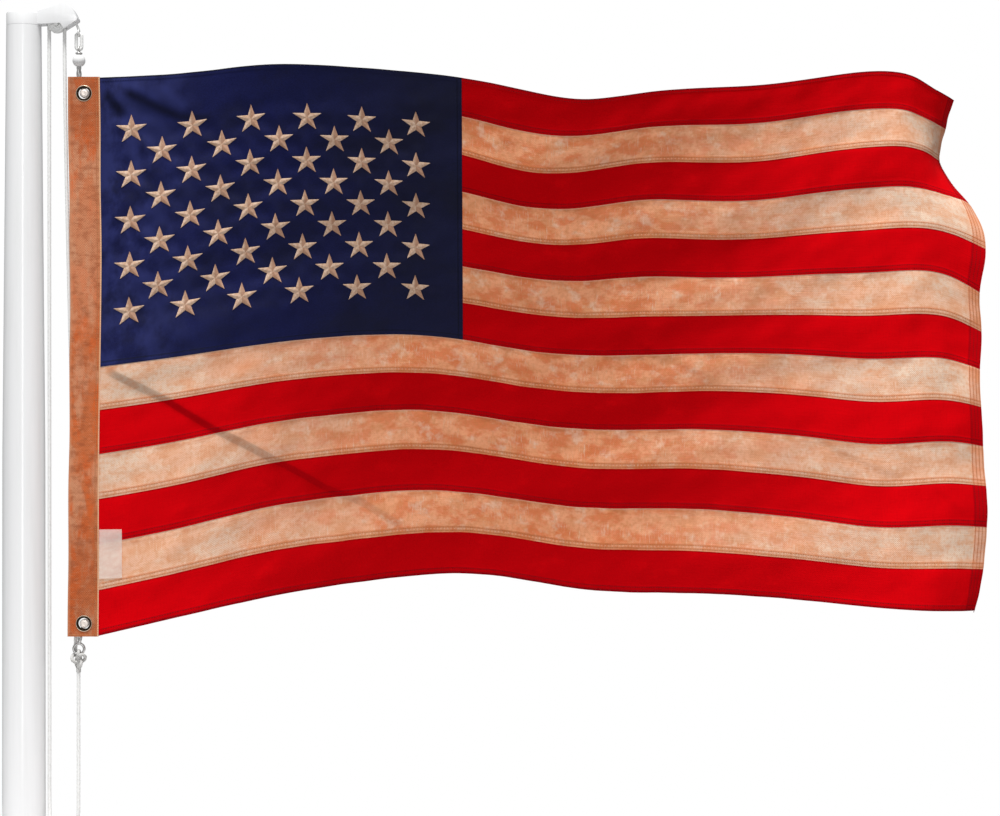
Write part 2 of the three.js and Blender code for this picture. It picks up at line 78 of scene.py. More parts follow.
def add_node(
    tree: bpy.types.NodeTree, kind: str, inputs: dict | None = None, **settings: Any
) -> bpy.types.Node:
    """Add one node with its settings and its sockets' values or links.

    Args:
        tree: Node tree that takes the node.
        kind: Blender's name for the node's type.
        inputs: Socket name or number to a value, or to the output socket that feeds it.
        **settings: Properties of the node itself.

    Returns:
        The new node.
    """
    node = tree.nodes.new(kind)
    for name, value in settings.items():
        setattr(node, name, value)
    for key, value in (inputs or {}).items():
        if isinstance(value, Socket):
            tree.links.new(value, node.inputs[key])
        else:
            node.inputs[key].default_value = value
    return node


def new_tree(name: str) -> tuple[Material, bpy.types.NodeTree]:
    """Start an empty material.

    Args:
        name: Name of the material.

    Returns:
        The material and its cleared node tree.
    """
    material = bpy.data.materials.new(name)
    material.use_nodes = True
    material.node_tree.nodes.clear()
    return material, material.node_tree


def close_material(material: Material, inputs: dict) -> Material:
    """Close a material with its shader.

    Args:
        material: The material.
        inputs: The shader's sockets and their values or links.

    Returns:
        The same material.
    """
    shader = add_node(material.node_tree, "ShaderNodeBsdfPrincipled", inputs)
    add_node(material.node_tree, "ShaderNodeOutputMaterial", {0: shader.outputs[0]})
    return material


def add_object(name: str, data: Any) -> Object:
    """Put a new object into the scene.

    Args:
        name: Its name.
        data: Its mesh, light or camera.

    Returns:
        The object.
    """
    made = bpy.data.objects.new(name, data)
    bpy.context.scene.collection.objects.link(made)
    return made


def shade_smooth(mesh: bpy.types.Mesh, crease_angle: float) -> None:
    """Shade a mesh smooth, but leave edges sharper than an angle in degrees crisp."""
    mesh.polygons.foreach_set("use_smooth", np.ones(len(mesh.polygons), bool))
    mesh.set_sharp_from_angle(angle=math.radians(crease_angle))


def smooth_step(low: float, high: float, at: Rows) -> Rows:
    """Rise smoothly from 0 at low to 1 at high.

    Args:
        low: Where the rise starts.
        high: Where it ends.
        at: Places to read it.

    Returns:
        The eased share at each place.
    """
    share = np.clip((at - low) / (high - low), 0, 1)
    return share * share * (3 - 2 * share)


def make_piece(
    name: str, points: Rows, faces: Sequence, material: Material, coords: Rows | None = None,
    crease_angle: float = 50,
) -> Object:
    """Make one mesh object from points in millimetres.

    Args:
        name: Name of the piece.
        points: Corner points, one row each.
        faces: Corner numbers of each face.
        material: Its finish.
        coords: Pattern coordinates in metres, one row for each point.
        crease_angle: Edges sharper than this many degrees stay crisp.

    Returns:
        The object, riding on the part's body.
    """
    mesh = bpy.data.meshes.new(name)
    corners = faces.tolist() if isinstance(faces, np.ndarray) else faces
    mesh.from_pydata((np.asarray(points, float) * MM).tolist(), [], corners)
    mesh.validate()
    shade_smooth(mesh, crease_angle)
    if coords is not None:
        order = np.empty(len(mesh.loops), int)
        mesh.loops.foreach_get("vertex_index", order)
        layer = mesh.uv_layers.new(name="Pattern")
        layer.data.foreach_set("uv", np.asarray(coords, float)[order].ravel())
    mesh.materials.append(material)
    piece = add_object(name, mesh)
    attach(piece, BODY)
    return piece


def grid_faces(rows: int, columns: int, first: int = 0, flip: bool = False, closed: bool = False) -> Rows:
    """List the quads of a grid of points.

    Args:
        rows: Number of rows of points.
        columns: Number of points in a row.
        first: Number of the grid's first point.
        flip: Turns the faces over.
        closed: Joins each row's last point to its first.

    Returns:
        Four corner numbers for each quad.
    """
    j, i = np.meshgrid(np.arange(rows - 1), np.arange(columns if closed else columns - 1), indexing="ij")
    a = (j * columns + i).ravel() + first
    b = (j * columns + (i + 1) % columns).ravel() + first
    quads = np.stack([a, a + columns, b + columns, b], axis=1)
    return quads[:, ::-1] if flip else quads


def sheet_faces(rows: int, columns: int) -> Rows:
    """List the quads of a closed thin sheet: its front grid, its back grid and the rim between them.

    Args:
        rows: Number of rows of points on each face.
        columns: Number of points in a row.

    Returns:
        Four corner numbers for each quad; the back's points follow the front's.
    """
    layer = rows * columns
    rim = np.concatenate([
        np.arange(columns), np.arange(1, rows) * columns + columns - 1,
        (rows - 1) * columns + np.arange(columns - 2, -1, -1), np.arange(rows - 2, 0, -1) * columns,
    ])
    after = np.roll(rim, -1)
    edge = np.stack([rim, after, after + layer, rim + layer], axis=1)
    return np.concatenate([grid_faces(rows, columns), grid_faces(rows, columns, layer, flip=True), edge])


def shaped(
    piece: Object, add: Sequence[tuple] = (), remove: Sequence[tuple] = (),
    rounding: float = 0.0, steps: int = 3, round_from: float = 42, crease_angle: float = 35,
) -> None:
    """Join shapes to a piece, cut shapes from it and round its edges.

    Args:
        piece: The piece to work on.
        add: Points and faces of each shape to join, in mm.
        remove: Points and faces of each shape to cut away.
        rounding: Radius of the rounded edges in mm.
        steps: Faces across each rounding.
        round_from: Edges that bend by more than this many degrees are rounded.
        crease_angle: Edges sharper than this many degrees stay crisp.
    """
    tools = []
    for shapes, operation in ((add, "UNION"), (remove, "DIFFERENCE")):
        for points, faces in shapes:
            mesh = bpy.data.meshes.new("tool")
            mesh.from_pydata((points * MM).tolist(), [], faces)
            mesh.validate()
            tools.append(add_object("tool", mesh))
            modifier = piece.modifiers.new("work", "BOOLEAN")
            modifier.operation, modifier.solver, modifier.object = operation, "EXACT", tools[-1]
    if rounding:
        bevel = piece.modifiers.new("round", "BEVEL")
        bevel.width, bevel.segments = rounding * MM, steps
        bevel.limit_method, bevel.angle_limit = "ANGLE", math.radians(round_from)
    bpy.context.view_layer.update()
    graph = bpy.context.evaluated_depsgraph_get()
    finished = bpy.data.meshes.new_from_object(piece.evaluated_get(graph))
    piece.modifiers.clear()
    old, piece.data = piece.data, finished
    bpy.data.meshes.remove(old)
    for tool in tools:
        bpy.data.objects.remove(tool)
    shade_smooth(finished, crease_angle)


def lathe(
    profile: Sequence[Pair], sides: int, axis: str = "z",
    place: Sequence[float] = (0, 0, 0),
) -> tuple[Rows, list]:
    """Turn a profile around an axis.

    Args:
        profile: Radius of each ring and its place along the axis, in order.
        sides: Number of sides.
        axis: "y" or "z".
        place: Where the profile's origin goes.

    Returns:
        Points and faces of the turned surface.
    """
    angles = np.arange(sides) * 2 * math.pi / sides
    across, deep = np.cos(angles), np.sin(angles)
    rings = [np.stack([r * across, r * deep, np.full(sides, z)], axis=1) for r, z in profile]
    quads = grid_faces(len(profile), sides, flip=True, closed=True).tolist()
    order = [1, 2, 0] if axis == "y" else [0, 1, 2]
    return np.concatenate(rings)[:, order] + np.asarray(place, float), quads


def distances(path: Rows) -> Rows:
    """Distance run at each point of a path."""
    return np.concatenate([[0], np.cumsum(np.linalg.norm(np.diff(path, axis=0), axis=1))])


def spaced(path: Rows, step: float, closed: bool = False) -> Rows:
    """Space the points of a line evenly.

    Args:
        path: Points of the line.
        step: Distance between the points of the result.
        closed: Leads the line back to its start, which the result doesn't repeat.

    Returns:
        The new points.
    """
    line = np.vstack([path, path[:1]]) if closed else path
    run = distances(line)
    count = round(run[-1] / step)
    even = np.linspace(0, run[-1], count if closed else max(2, count) + 1, endpoint=not closed)
    return np.stack([np.interp(even, run, line[:, k]) for k in range(3)], axis=1)


def route(points: Sequence[Sequence[float]], step: float) -> Rows:
    """Run a centripetal Catmull-Rom curve through the given points.

    Args:
        points: Points that the curve passes through, in millimetres.
        step: Distance between the points of the result.

    Returns:
        Evenly spaced points on the curve.
    """
    p = np.asarray(points, float)
    p = np.vstack([2 * p[0] - p[1], p, 2 * p[-1] - p[-2]])
    fine = []
    for i in range(1, len(p) - 2):
        d0, d1, d2 = (max(np.linalg.norm(p[k + 1] - p[k]) ** 0.5, 1e-6) for k in (i - 1, i, i + 1))
        m1 = ((p[i] - p[i - 1]) / d0 - (p[i + 1] - p[i - 1]) / (d0 + d1) + (p[i + 1] - p[i]) / d1) * d1
        m2 = ((p[i + 1] - p[i]) / d1 - (p[i + 2] - p[i]) / (d1 + d2) + (p[i + 2] - p[i + 1]) / d2) * d1
        t = np.linspace(0, 1, 24, endpoint=False)[:, None]
        fine.append(
            (2 * t**3 - 3 * t**2 + 1) * p[i] + (t**3 - 2 * t**2 + t) * m1
            + (3 * t**2 - 2 * t**3) * p[i + 1] + (t**3 - t**2) * m2
        )
    return spaced(np.vstack([*fine, p[-2]]), step)


def sweep(path: Rows, section: Any, sides: int, closed: bool = False) -> tuple[Rows, list, Rows]:
    """Sweep a round section along a path without twist of its own.

    Args:
        path: Points of the centre line.
        section: The radius, or a function of angle and distance run, both arrays, that gives it.
        sides: Number of sides.
        closed: Joins the end to the start.

    Returns:
        Points, faces and pattern coordinates in metres.
    """
    around = np.roll(path, -1, axis=0) - np.roll(path, 1, axis=0)
    ahead = around if closed else np.gradient(path, axis=0)
    ahead /= np.linalg.norm(ahead, axis=1)[:, None]
    side = np.cross(ahead[0], [0.31, 0.95, 0.05])
    angles = np.arange(sides) * 2 * math.pi / sides
    cosine, sine = np.cos(angles)[:, None], np.sin(angles)[:, None]
    rings, coords = [], []
    for middle, along, at in zip(path, ahead, distances(path)):
        side = side - along * side.dot(along)
        side /= np.linalg.norm(side)
        run = np.full(sides, at)
        radius = section(angles, run)[:, None] if callable(section) else section
        rings.append(middle + radius * (cosine * side + sine * np.cross(along, side)))
        coords.append(np.stack([run, angles * 3], axis=1) * MM)
    faces = grid_faces(len(path), sides, closed=True).tolist()
    last = (len(path) - 1) * sides
    if closed:
        faces += [[last + i, i, (i + 1) % sides, last + (i + 1) % sides] for i in range(sides)]
    else:
        faces += [list(range(sides)), list(range(last + sides - 1, last - 1, -1))]
    return np.concatenate(rings), faces, np.concatenate(coords)


def merged(*shapes: tuple) -> tuple[Rows, list]:
    """Put several shapes into one list of points and faces.

    Args:
        *shapes: Each shape's points and faces, anything further in it is dropped.

    Returns:
        Points and faces of them all.
    """
    points, faces, first = [], [], 0
    for shape in shapes:
        points.append(shape[0])
        faces += [[corner + first for corner in face] for face in shape[1]]
        first += len(shape[0])
    return np.concatenate(points), faces


class NaturalCurve:
    """Natural cubic curve through given stops; each stop may hold one value or a row of them."""

    def __init__(self, stops: Sequence[float], values: Any) -> None:
        """Solve the curve's bends.

        Args:
            stops: Places in rising order.
            values: Value or row of values at each stop.
        """
        self.stops = np.asarray(stops, float)
        self.values = np.asarray(values, float)
        count, span = len(self.stops), np.diff(self.stops)
        left, right = np.eye(count), np.zeros((count, count))
        for i in range(1, count - 1):
            left[i, i - 1 : i + 2] = span[i - 1], 2 * (span[i - 1] + span[i]), span[i]
            right[i, i - 1 : i + 2] = 6 / span[i - 1], -6 / span[i - 1] - 6 / span[i], 6 / span[i]
        self.bends = np.linalg.solve(left, right @ self.values)

    def at(self, where: Rows) -> Rows:
        """Read the curve.

        Args:
            where: Places; for stops with rows of values, one place for each entry of the row.

        Returns:
            The value at each place.
        """
        where = np.asarray(where, float)
        i = np.clip(np.searchsorted(self.stops, where) - 1, 0, len(self.stops) - 2)
        pick = (i,) if self.values.ndim == 1 else (i, np.arange(self.values.shape[1]))
        after = (i + 1,) + pick[1:]
        span = self.stops[i + 1] - self.stops[i]
        b = (where - self.stops[i]) / span
        a = 1 - b
        bend = (a**3 - a) * self.bends[pick] + (b**3 - b) * self.bends[after]
        return a * self.values[pick] + b * self.values[after] + bend * span**2 / 6


# Cloth


@dataclass(frozen=True)
class Fold:
    """Soft fold line across the cloth, where one side lies proud of the other.

    Start and end are cloth coordinates in mm. The upper side lies proud by the height and the lower side as
    far back. The slope between them is twice the width, and beyond the reach the cloth soon lies flat again.
    """

    start: Pair
    end: Pair
    height: float = 2.6
    width: float = 5.0
    reach: float = 40.0
    fade: float = 25.0

    def relief(self, u: Rows, v: Rows) -> Rows:
        """Height of the fold at cloth coordinates, in mm.

        Args:
            u: Distance along the fly.
            v: Distance down the hoist.

        Returns:
            Height towards the front.
        """
        du, dv = self.end[0] - self.start[0], self.end[1] - self.start[1]
        length = math.hypot(du, dv)
        run = ((u - self.start[0]) * du + (v - self.start[1]) * dv) / length
        off = ((u - self.start[0]) * dv - (v - self.start[1]) * du) / length
        begun = smooth_step(-self.fade, self.fade, run)
        over = smooth_step(length - self.fade, length + self.fade, run)
        slope = np.tanh(off / self.width) * np.exp(-np.abs(off) / self.reach)
        return self.height * slope * begun * (1 - over)


@dataclass
class Drape:
    """The flag's cloth as it hangs, with every fold, wave and pucker, for all that is sewn on it to follow.

    Each table gives values in mm at places along the fly or, for fly_shift and fly_back, down the hoist. In
    heights, each seam's line stands after the number of stripes above it. The stars' columns lean towards the
    hoist on their way down, most in the canton's middle.
    """

    hoist: float = 914
    fly: float = 1473
    stripes: int = 13
    canton_rows: int = 7
    canton_fly: float = 600
    lean_pivot: float = 0.45
    curl_from: float = 1320
    star_first: Pair = (48, 90.5)
    star_step: Pair = (47.4, 39.2)
    star_lean: Pair = (4, 15)
    star_lean_power: float = 1.6
    star_bulge: float = 5
    star_drop: float = 8
    star_rows: int = 9
    star_columns: int = 11
    pucker_reach: float = 90
    pucker_ring: float = 32
    pucker_width: float = 14
    pucker_height: float = 0.8
    dimple_depth: float = 0.5
    dimple_radius: float = 30
    hoist_ease: float = 22
    waves: tuple = ((1.5, 210), (1.1, 150), (0.8, 118), (0.55, 84), (0.4, 66), (0.28, 48), (0.18, 37),
                    (0.12, 29))
    wave_seed: int = 13
    heights: tuple = (
        (0, ((0, 1352), (130, 1357), (260, 1367), (390, 1361), (500, 1352), (600, 1342), (700, 1324),
             (800, 1309), (900, 1320), (1000, 1330), (1100, 1337), (1200, 1351), (1290, 1363), (1350, 1359),
             (1410, 1339), (1473, 1326))),
        (2, ((0, 1217), (130, 1226), (260, 1240), (390, 1241), (500, 1236), (600, 1223), (700, 1198),
             (800, 1196), (900, 1210), (1000, 1212), (1100, 1215), (1200, 1229), (1290, 1239), (1350, 1239),
             (1410, 1229), (1473, 1225))),
        (4, ((0, 1082), (130, 1095), (260, 1112), (390, 1118), (500, 1117), (600, 1105), (700, 1086),
             (800, 1081), (900, 1091), (1000, 1089), (1100, 1090), (1200, 1098), (1290, 1104), (1350, 1107),
             (1410, 1099), (1473, 1073))),
        (7, ((0, 880), (130, 898), (260, 918), (390, 931), (500, 934), (600, 926), (700, 910), (800, 901),
             (1000, 903), (1200, 898), (1290, 893), (1350, 895), (1410, 893), (1473, 876))),
        (10, ((0, 665), (130, 690), (260, 720), (390, 736), (500, 744), (600, 739), (700, 725), (800, 713),
              (1000, 712), (1100, 706), (1200, 696), (1290, 686), (1350, 688), (1410, 691), (1473, 686))),
        (13, ((0, 442), (130, 473), (260, 499), (390, 515), (500, 526), (600, 531), (700, 521), (800, 505),
              (1000, 501), (1200, 494), (1350, 486), (1473, 483))),
    )
    along: tuple = ((0, 127.3), (145, 277), (335, 465), (600, 717), (1100, 1205), (1473, 1567))
    sway: tuple = ((0, -8), (130, -8), (300, 8), (600, 28), (800, 36), (1000, 24), (1200, -2), (1290, -14),
                   (1400, -18), (1473, -10))
    lean: tuple = ((0, 0), (100, 14), (200, 60), (300, 140), (420, 205), (600, 222), (800, 222), (950, 180),
                   (1080, 105), (1200, 40), (1290, -25), (1370, -55), (1473, -45))
    fly_shift: tuple = ((0, -29), (70, -42), (141, -51), (211, -13), (281, 6), (352, -5), (422, -1),
                        (492, -6), (633, -2), (703, 0), (773, 1), (844, -5), (914, -16))
    fly_back: tuple = ((0, 66), (70, 88), (141, 98), (211, 40), (281, 4), (352, 8), (492, 4), (703, 0),
                       (844, 2), (914, 14))
    long_fold: tuple[Fold, ...] = (
        Fold((14, 503), (102, 562), 2.2), Fold((102, 562), (176, 624)),
        Fold((176, 624), (271, 697), 2.2), Fold((271, 697), (356, 755), 1.8),
        Fold((356, 755), (419, 786), 1.4), Fold((419, 786), (487, 829), 1.0),
    )
    small_folds: tuple[Fold, ...] = (
        Fold((782, 216), (928, 270), 0.9), Fold((683, 362), (807, 418), 1.2),
        Fold((899, 472), (1051, 558), 1.1), Fold((558, 663), (652, 707), 0.9),
        Fold((1187, 632), (1325, 688), 0.9), Fold((1385, 711), (1434, 757), 0.9),
        Fold((41, 27), (126, 76), 6.5, 12, 60), Fold((6, 27), (36, 64), 4.5, 9, 40),
    )

    def __post_init__(self) -> None:
        """Solve the curves that the surface is read from."""
        self.stripe = self.hoist / self.stripes
        self._x, self._sway, self._lean, self._shift, self._back = (
            NaturalCurve(*zip(*line))
            for line in (self.along, self.sway, self.lean, self.fly_shift, self.fly_back)
        )
        self._heights = [(count * self.stripe, NaturalCurve(*zip(*line))) for count, line in self.heights]
        self.stars = [
            self.star_place(row, column)
            for row in range(self.star_rows) for column in range(row % 2, self.star_columns, 2)
        ]
        chance, count = np.random.default_rng(self.wave_seed), len(self.waves)
        angles, phases = chance.uniform(0.1, 1.5, count), chance.uniform(0, 2 * math.pi, count)
        self._waves = [
            (size, 2 * math.pi / length, angle, phase)
            for (size, length), angle, phase in zip(self.waves, angles, phases)
        ]

    def base(self, u: Rows, v: Rows) -> Rows:
        """Point on the smooth draped surface.

        Args:
            u: Distance along the fly, in mm.
            v: Distance down the hoist, in mm.

        Returns:
            Points, one row each.
        """
        curl = np.clip((u - self.curl_from) / (self.fly - self.curl_from), 0, None) ** 2
        seams = NaturalCurve([at for at, _ in self._heights], [curve.at(u) for _, curve in self._heights])
        x = self._x.at(u) + self._shift.at(v) * curl
        y = self._sway.at(u) + self._lean.at(u) * (v / self.hoist - self.lean_pivot) + self._back.at(v) * curl
        return np.stack([x, y, seams.at(v)], axis=1)

    def relief(self, u: Rows, v: Rows) -> Rows:
        """Height of folds, small waves and star puckers above the smooth surface, in mm.

        Args:
            u: Distance along the fly.
            v: Distance down the hoist.

        Returns:
            Height towards the front at each place.
        """
        height = sum(fold.relief(u, v) for fold in (*self.long_fold, *self.small_folds))
        for size, pace, angle, phase in self._waves:
            height = height + size * np.sin(pace * (u * math.cos(angle) + v * math.sin(angle)) + phase)
        for at_u, at_v in self.stars:
            du, dv = u - at_u, v - at_v
            near = (np.abs(du) < self.pucker_reach) & (np.abs(dv) < self.pucker_reach)
            away = np.hypot(du[near], dv[near])
            turn = np.arctan2(du[near], -dv[near])
            spokes = np.cos(5 * turn) * np.exp(-(((away - self.pucker_ring) / self.pucker_width) ** 2))
            dimple = np.exp(-((away / self.dimple_radius) ** 2))
            height[near] += self.pucker_height * spokes - self.dimple_depth * dimple
        return height * smooth_step(0, self.hoist_ease, u)

    def star_place(self, row: int, column: int) -> Pair:
        """Find a star's middle.

        Args:
            row: Number of its row.
            column: Number of its column.

        Returns:
            Cloth coordinates in mm.
        """
        across, down = column / (self.star_columns - 1), row / (self.star_rows - 1)
        bulge = math.sin(math.pi * across)
        lean = (self.star_lean[0] + self.star_lean[1] * bulge) * down**self.star_lean_power
        u = self.star_first[0] + column * self.star_step[0] + self.star_bulge * bulge - lean
        v = self.star_first[1] + row * self.star_step[1] + self.star_drop * across * (1 - down)
        return u, v

    def place(self, u: Rows, v: Rows, rise: Any = 0.0) -> Rows:
        """Point at a height above the middle of the cloth, towards its front.

        Args:
            u: Distance along the fly, in mm.
            v: Distance down the hoist, in mm.
            rise: Height in mm, one for all or one for each place.

        Returns:
            Points, one row each.
        """
        u, v = np.asarray(u, float).ravel(), np.asarray(v, float).ravel()
        middle = self.base(u, v)
        along = self.base(u + 2, v) - self.base(u - 2, v)
        down = self.base(u, v + 2) - self.base(u, v - 2)
        front = np.cross(along, down)
        front *= -np.sign(front[:, 1:2]) / np.linalg.norm(front, axis=1)[:, None]
        return middle + front * (np.asarray(rise, float) + self.relief(u, v))[:, None]

    def sheet(
        self, name: str, u: Rows, v: Rows, rise: Rows, thickness: float, material: Material
    ) -> Object:
        """Make a closed thin sheet that lies on the cloth.

        Args:
            name: Name of the piece.
            u: Distance along the fly of each point of a grid.
            v: Distance down the hoist of each point.
            rise: Height of each point above the middle of the cloth.
            thickness: Thickness of the sheet.
            material: Its cloth.

        Returns:
            The piece.
        """
        sides = [self.place(u, v, rise.ravel() + side * thickness / 2) for side in (1, -1)]
        coords = np.tile(np.stack([u.ravel(), v.ravel()], axis=1) * MM, (2, 1))
        return make_piece(name, np.concatenate(sides), sheet_faces(*u.shape), material, coords)


class Stitch(Enum):
    """Which way a row of stitches runs on the cloth."""

    ALONG_FLY = "fly"
    DOWN_HOIST = "hoist"


@dataclass(frozen=True)
class StitchRow:
    """One straight row of lockstitches, seen on both faces of the cloth.

    Its fixed cloth coordinate is at, and rise is the height of the cloth's face in front and behind.
    """

    way: Stitch
    at: float
    start: float
    end: float
    rise: Pair = (0.6, -0.6)


@dataclass
class Sewing:
    """Rows of thread stitches that lie on a surface, joined into one piece for each thread."""

    place: Callable[[Rows, Rows, Rows], Rows]
    pitch: float = 4.0
    length: float = 3.1
    half_width: float = 0.45
    half_height: float = 0.32

    def mesh(self, rows: Sequence[StitchRow]) -> tuple[Rows, Rows]:
        """Lay the stitches of several rows on both faces.

        Args:
            rows: The rows to sew.

        Returns:
            Points and triangles.
        """
        points, faces, first = [], [], 0
        shape = np.array([[-1, 0, 0], [-0.5, 1, 0], [-0.5, 0, 1], [-0.5, -1, 0],
                          [0.5, 1, 0], [0.5, 0, 1], [0.5, -1, 0], [1, 0, 0]])
        pattern = np.array([[0, 2, 1], [0, 3, 2], [7, 4, 5], [7, 5, 6],
                            [1, 2, 5], [1, 5, 4], [2, 3, 6], [2, 6, 5]])
        for row in rows:
            centres = np.arange(row.start + self.pitch / 2, row.end - self.pitch / 3, self.pitch)
            for face, way in ((0, 1), (1, -1)):
                long = centres[:, None] + shape[:, 0] * self.length / 2
                wide = np.broadcast_to(row.at + shape[:, 1] * self.half_width, long.shape)
                rise = np.broadcast_to(row.rise[face] + way * shape[:, 2] * self.half_height, long.shape)
                u, v = (long, wide) if row.way is Stitch.ALONG_FLY else (wide, long)
                points.append(self.place(u.ravel(), v.ravel(), rise.ravel()))
                turned_over = (row.way is Stitch.ALONG_FLY) == (face == 0)
                corners = pattern[:, ::-1] if turned_over else pattern
                starts = first + np.arange(len(centres)) * len(shape)
                faces.append((starts[:, None, None] + corners[None]).reshape(-1, 3))
                first += len(centres) * len(shape)
        return np.concatenate(points), np.concatenate(faces)


@dataclass
class Panel:
    """One cut and sewn piece of flag cloth: a thin closed sheet with its seam allowances.

    It reaches from u0 to u1 along the fly and from v0 to v1 down the hoist. A tuck lies behind a neighbour,
    and a band or hem is where the cloth lies double.
    """

    name: str
    node: str
    u0: float
    u1: float
    v0: float
    v1: float
    tuck_left: float = 0
    tuck_top: float = 0
    fly_hem: float = 0
    right_band: float = 0
    low_band: float = 10
    top_hem: float = 0
    cell: float = 3.6
    thickness: float = 0.5
    fold_rise: float = 0.35
    pucker: float = 0.16
    tuck_drop: float = 0.4
    step_half: float = 0.7
    least_gap: float = 0.3
    pucker_spread: float = 7
    pucker_pace: Pair = (1.9, 23)
    tuck_edge: Pair = (0.5, 4)

    def stops(self, start: float, end: float, bands: Sequence[float]) -> Rows:
        """Lines of the grid, close together beside each band's edge.

        Args:
            start: First line.
            end: Last line.
            bands: Places where the height steps.

        Returns:
            The lines in rising order.
        """
        lines = np.linspace(start, end, max(2, round((end - start) / self.cell) + 1))
        for band in bands:
            lines = lines[np.abs(lines - band) > 2 * self.step_half]
            lines = np.concatenate([lines, [band - self.step_half, band, band + self.step_half]])
        lines = lines[(lines > start + self.least_gap) & (lines < end - self.least_gap)]
        return np.unique(np.concatenate([[start, end], lines]))

    def rise(self, u: Rows, v: Rows) -> Rows:
        """Height of seams above the cloth's own level.

        Args:
            u: Distance along the fly.
            v: Distance down the hoist.

        Returns:
            Height in mm.
        """
        height = np.zeros_like(u)
        folded_from = (
            (self.low_band, v - self.v1 + self.low_band), (self.right_band, u - self.u1 + self.right_band),
            (self.top_hem, self.v0 + self.top_hem - v), (self.fly_hem, u - self.u1 + self.fly_hem),
        )
        for band, past in folded_from:
            if band:
                folded = smooth_step(-self.step_half, self.step_half, past)
                height = np.maximum(height, self.fold_rise * folded)
        near_seam = np.exp(-(((v - self.v1 + self.low_band / 2) / self.pucker_spread) ** 2))
        pace, drift = self.pucker_pace
        height += self.pucker * near_seam * np.sin(u / pace + 2 * np.sin(u / drift))
        before, past = self.tuck_edge
        for tuck, seam, at in ((self.tuck_top, self.v0, v), (self.tuck_left, self.u0, u)):
            if tuck:
                height -= self.tuck_drop * (1 - smooth_step(seam - before, seam + past, at))
        return height

    def build(self, drape: Drape, material: Material) -> Object:
        """Make the sheet.

        Args:
            drape: Surface that it follows.
            material: Its cloth.

        Returns:
            The piece, standing for its CAD node.
        """
        columns = [self.u0, self.u1 - self.right_band, self.u1 - self.fly_hem]
        lines = [self.v0, self.v1 - self.low_band, self.v0 + self.top_hem]
        us = self.stops(self.u0 - self.tuck_left, self.u1, columns)
        vs = self.stops(self.v0 - self.tuck_top, self.v1, lines)
        u, v = np.meshgrid(us, vs)
        piece = drape.sheet(self.name, u, v, self.rise(u, v), self.thickness, material)
        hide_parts(self.node)
        log.info("%s: %d faces", self.name, len(piece.data.polygons))
        return piece


# Finishes


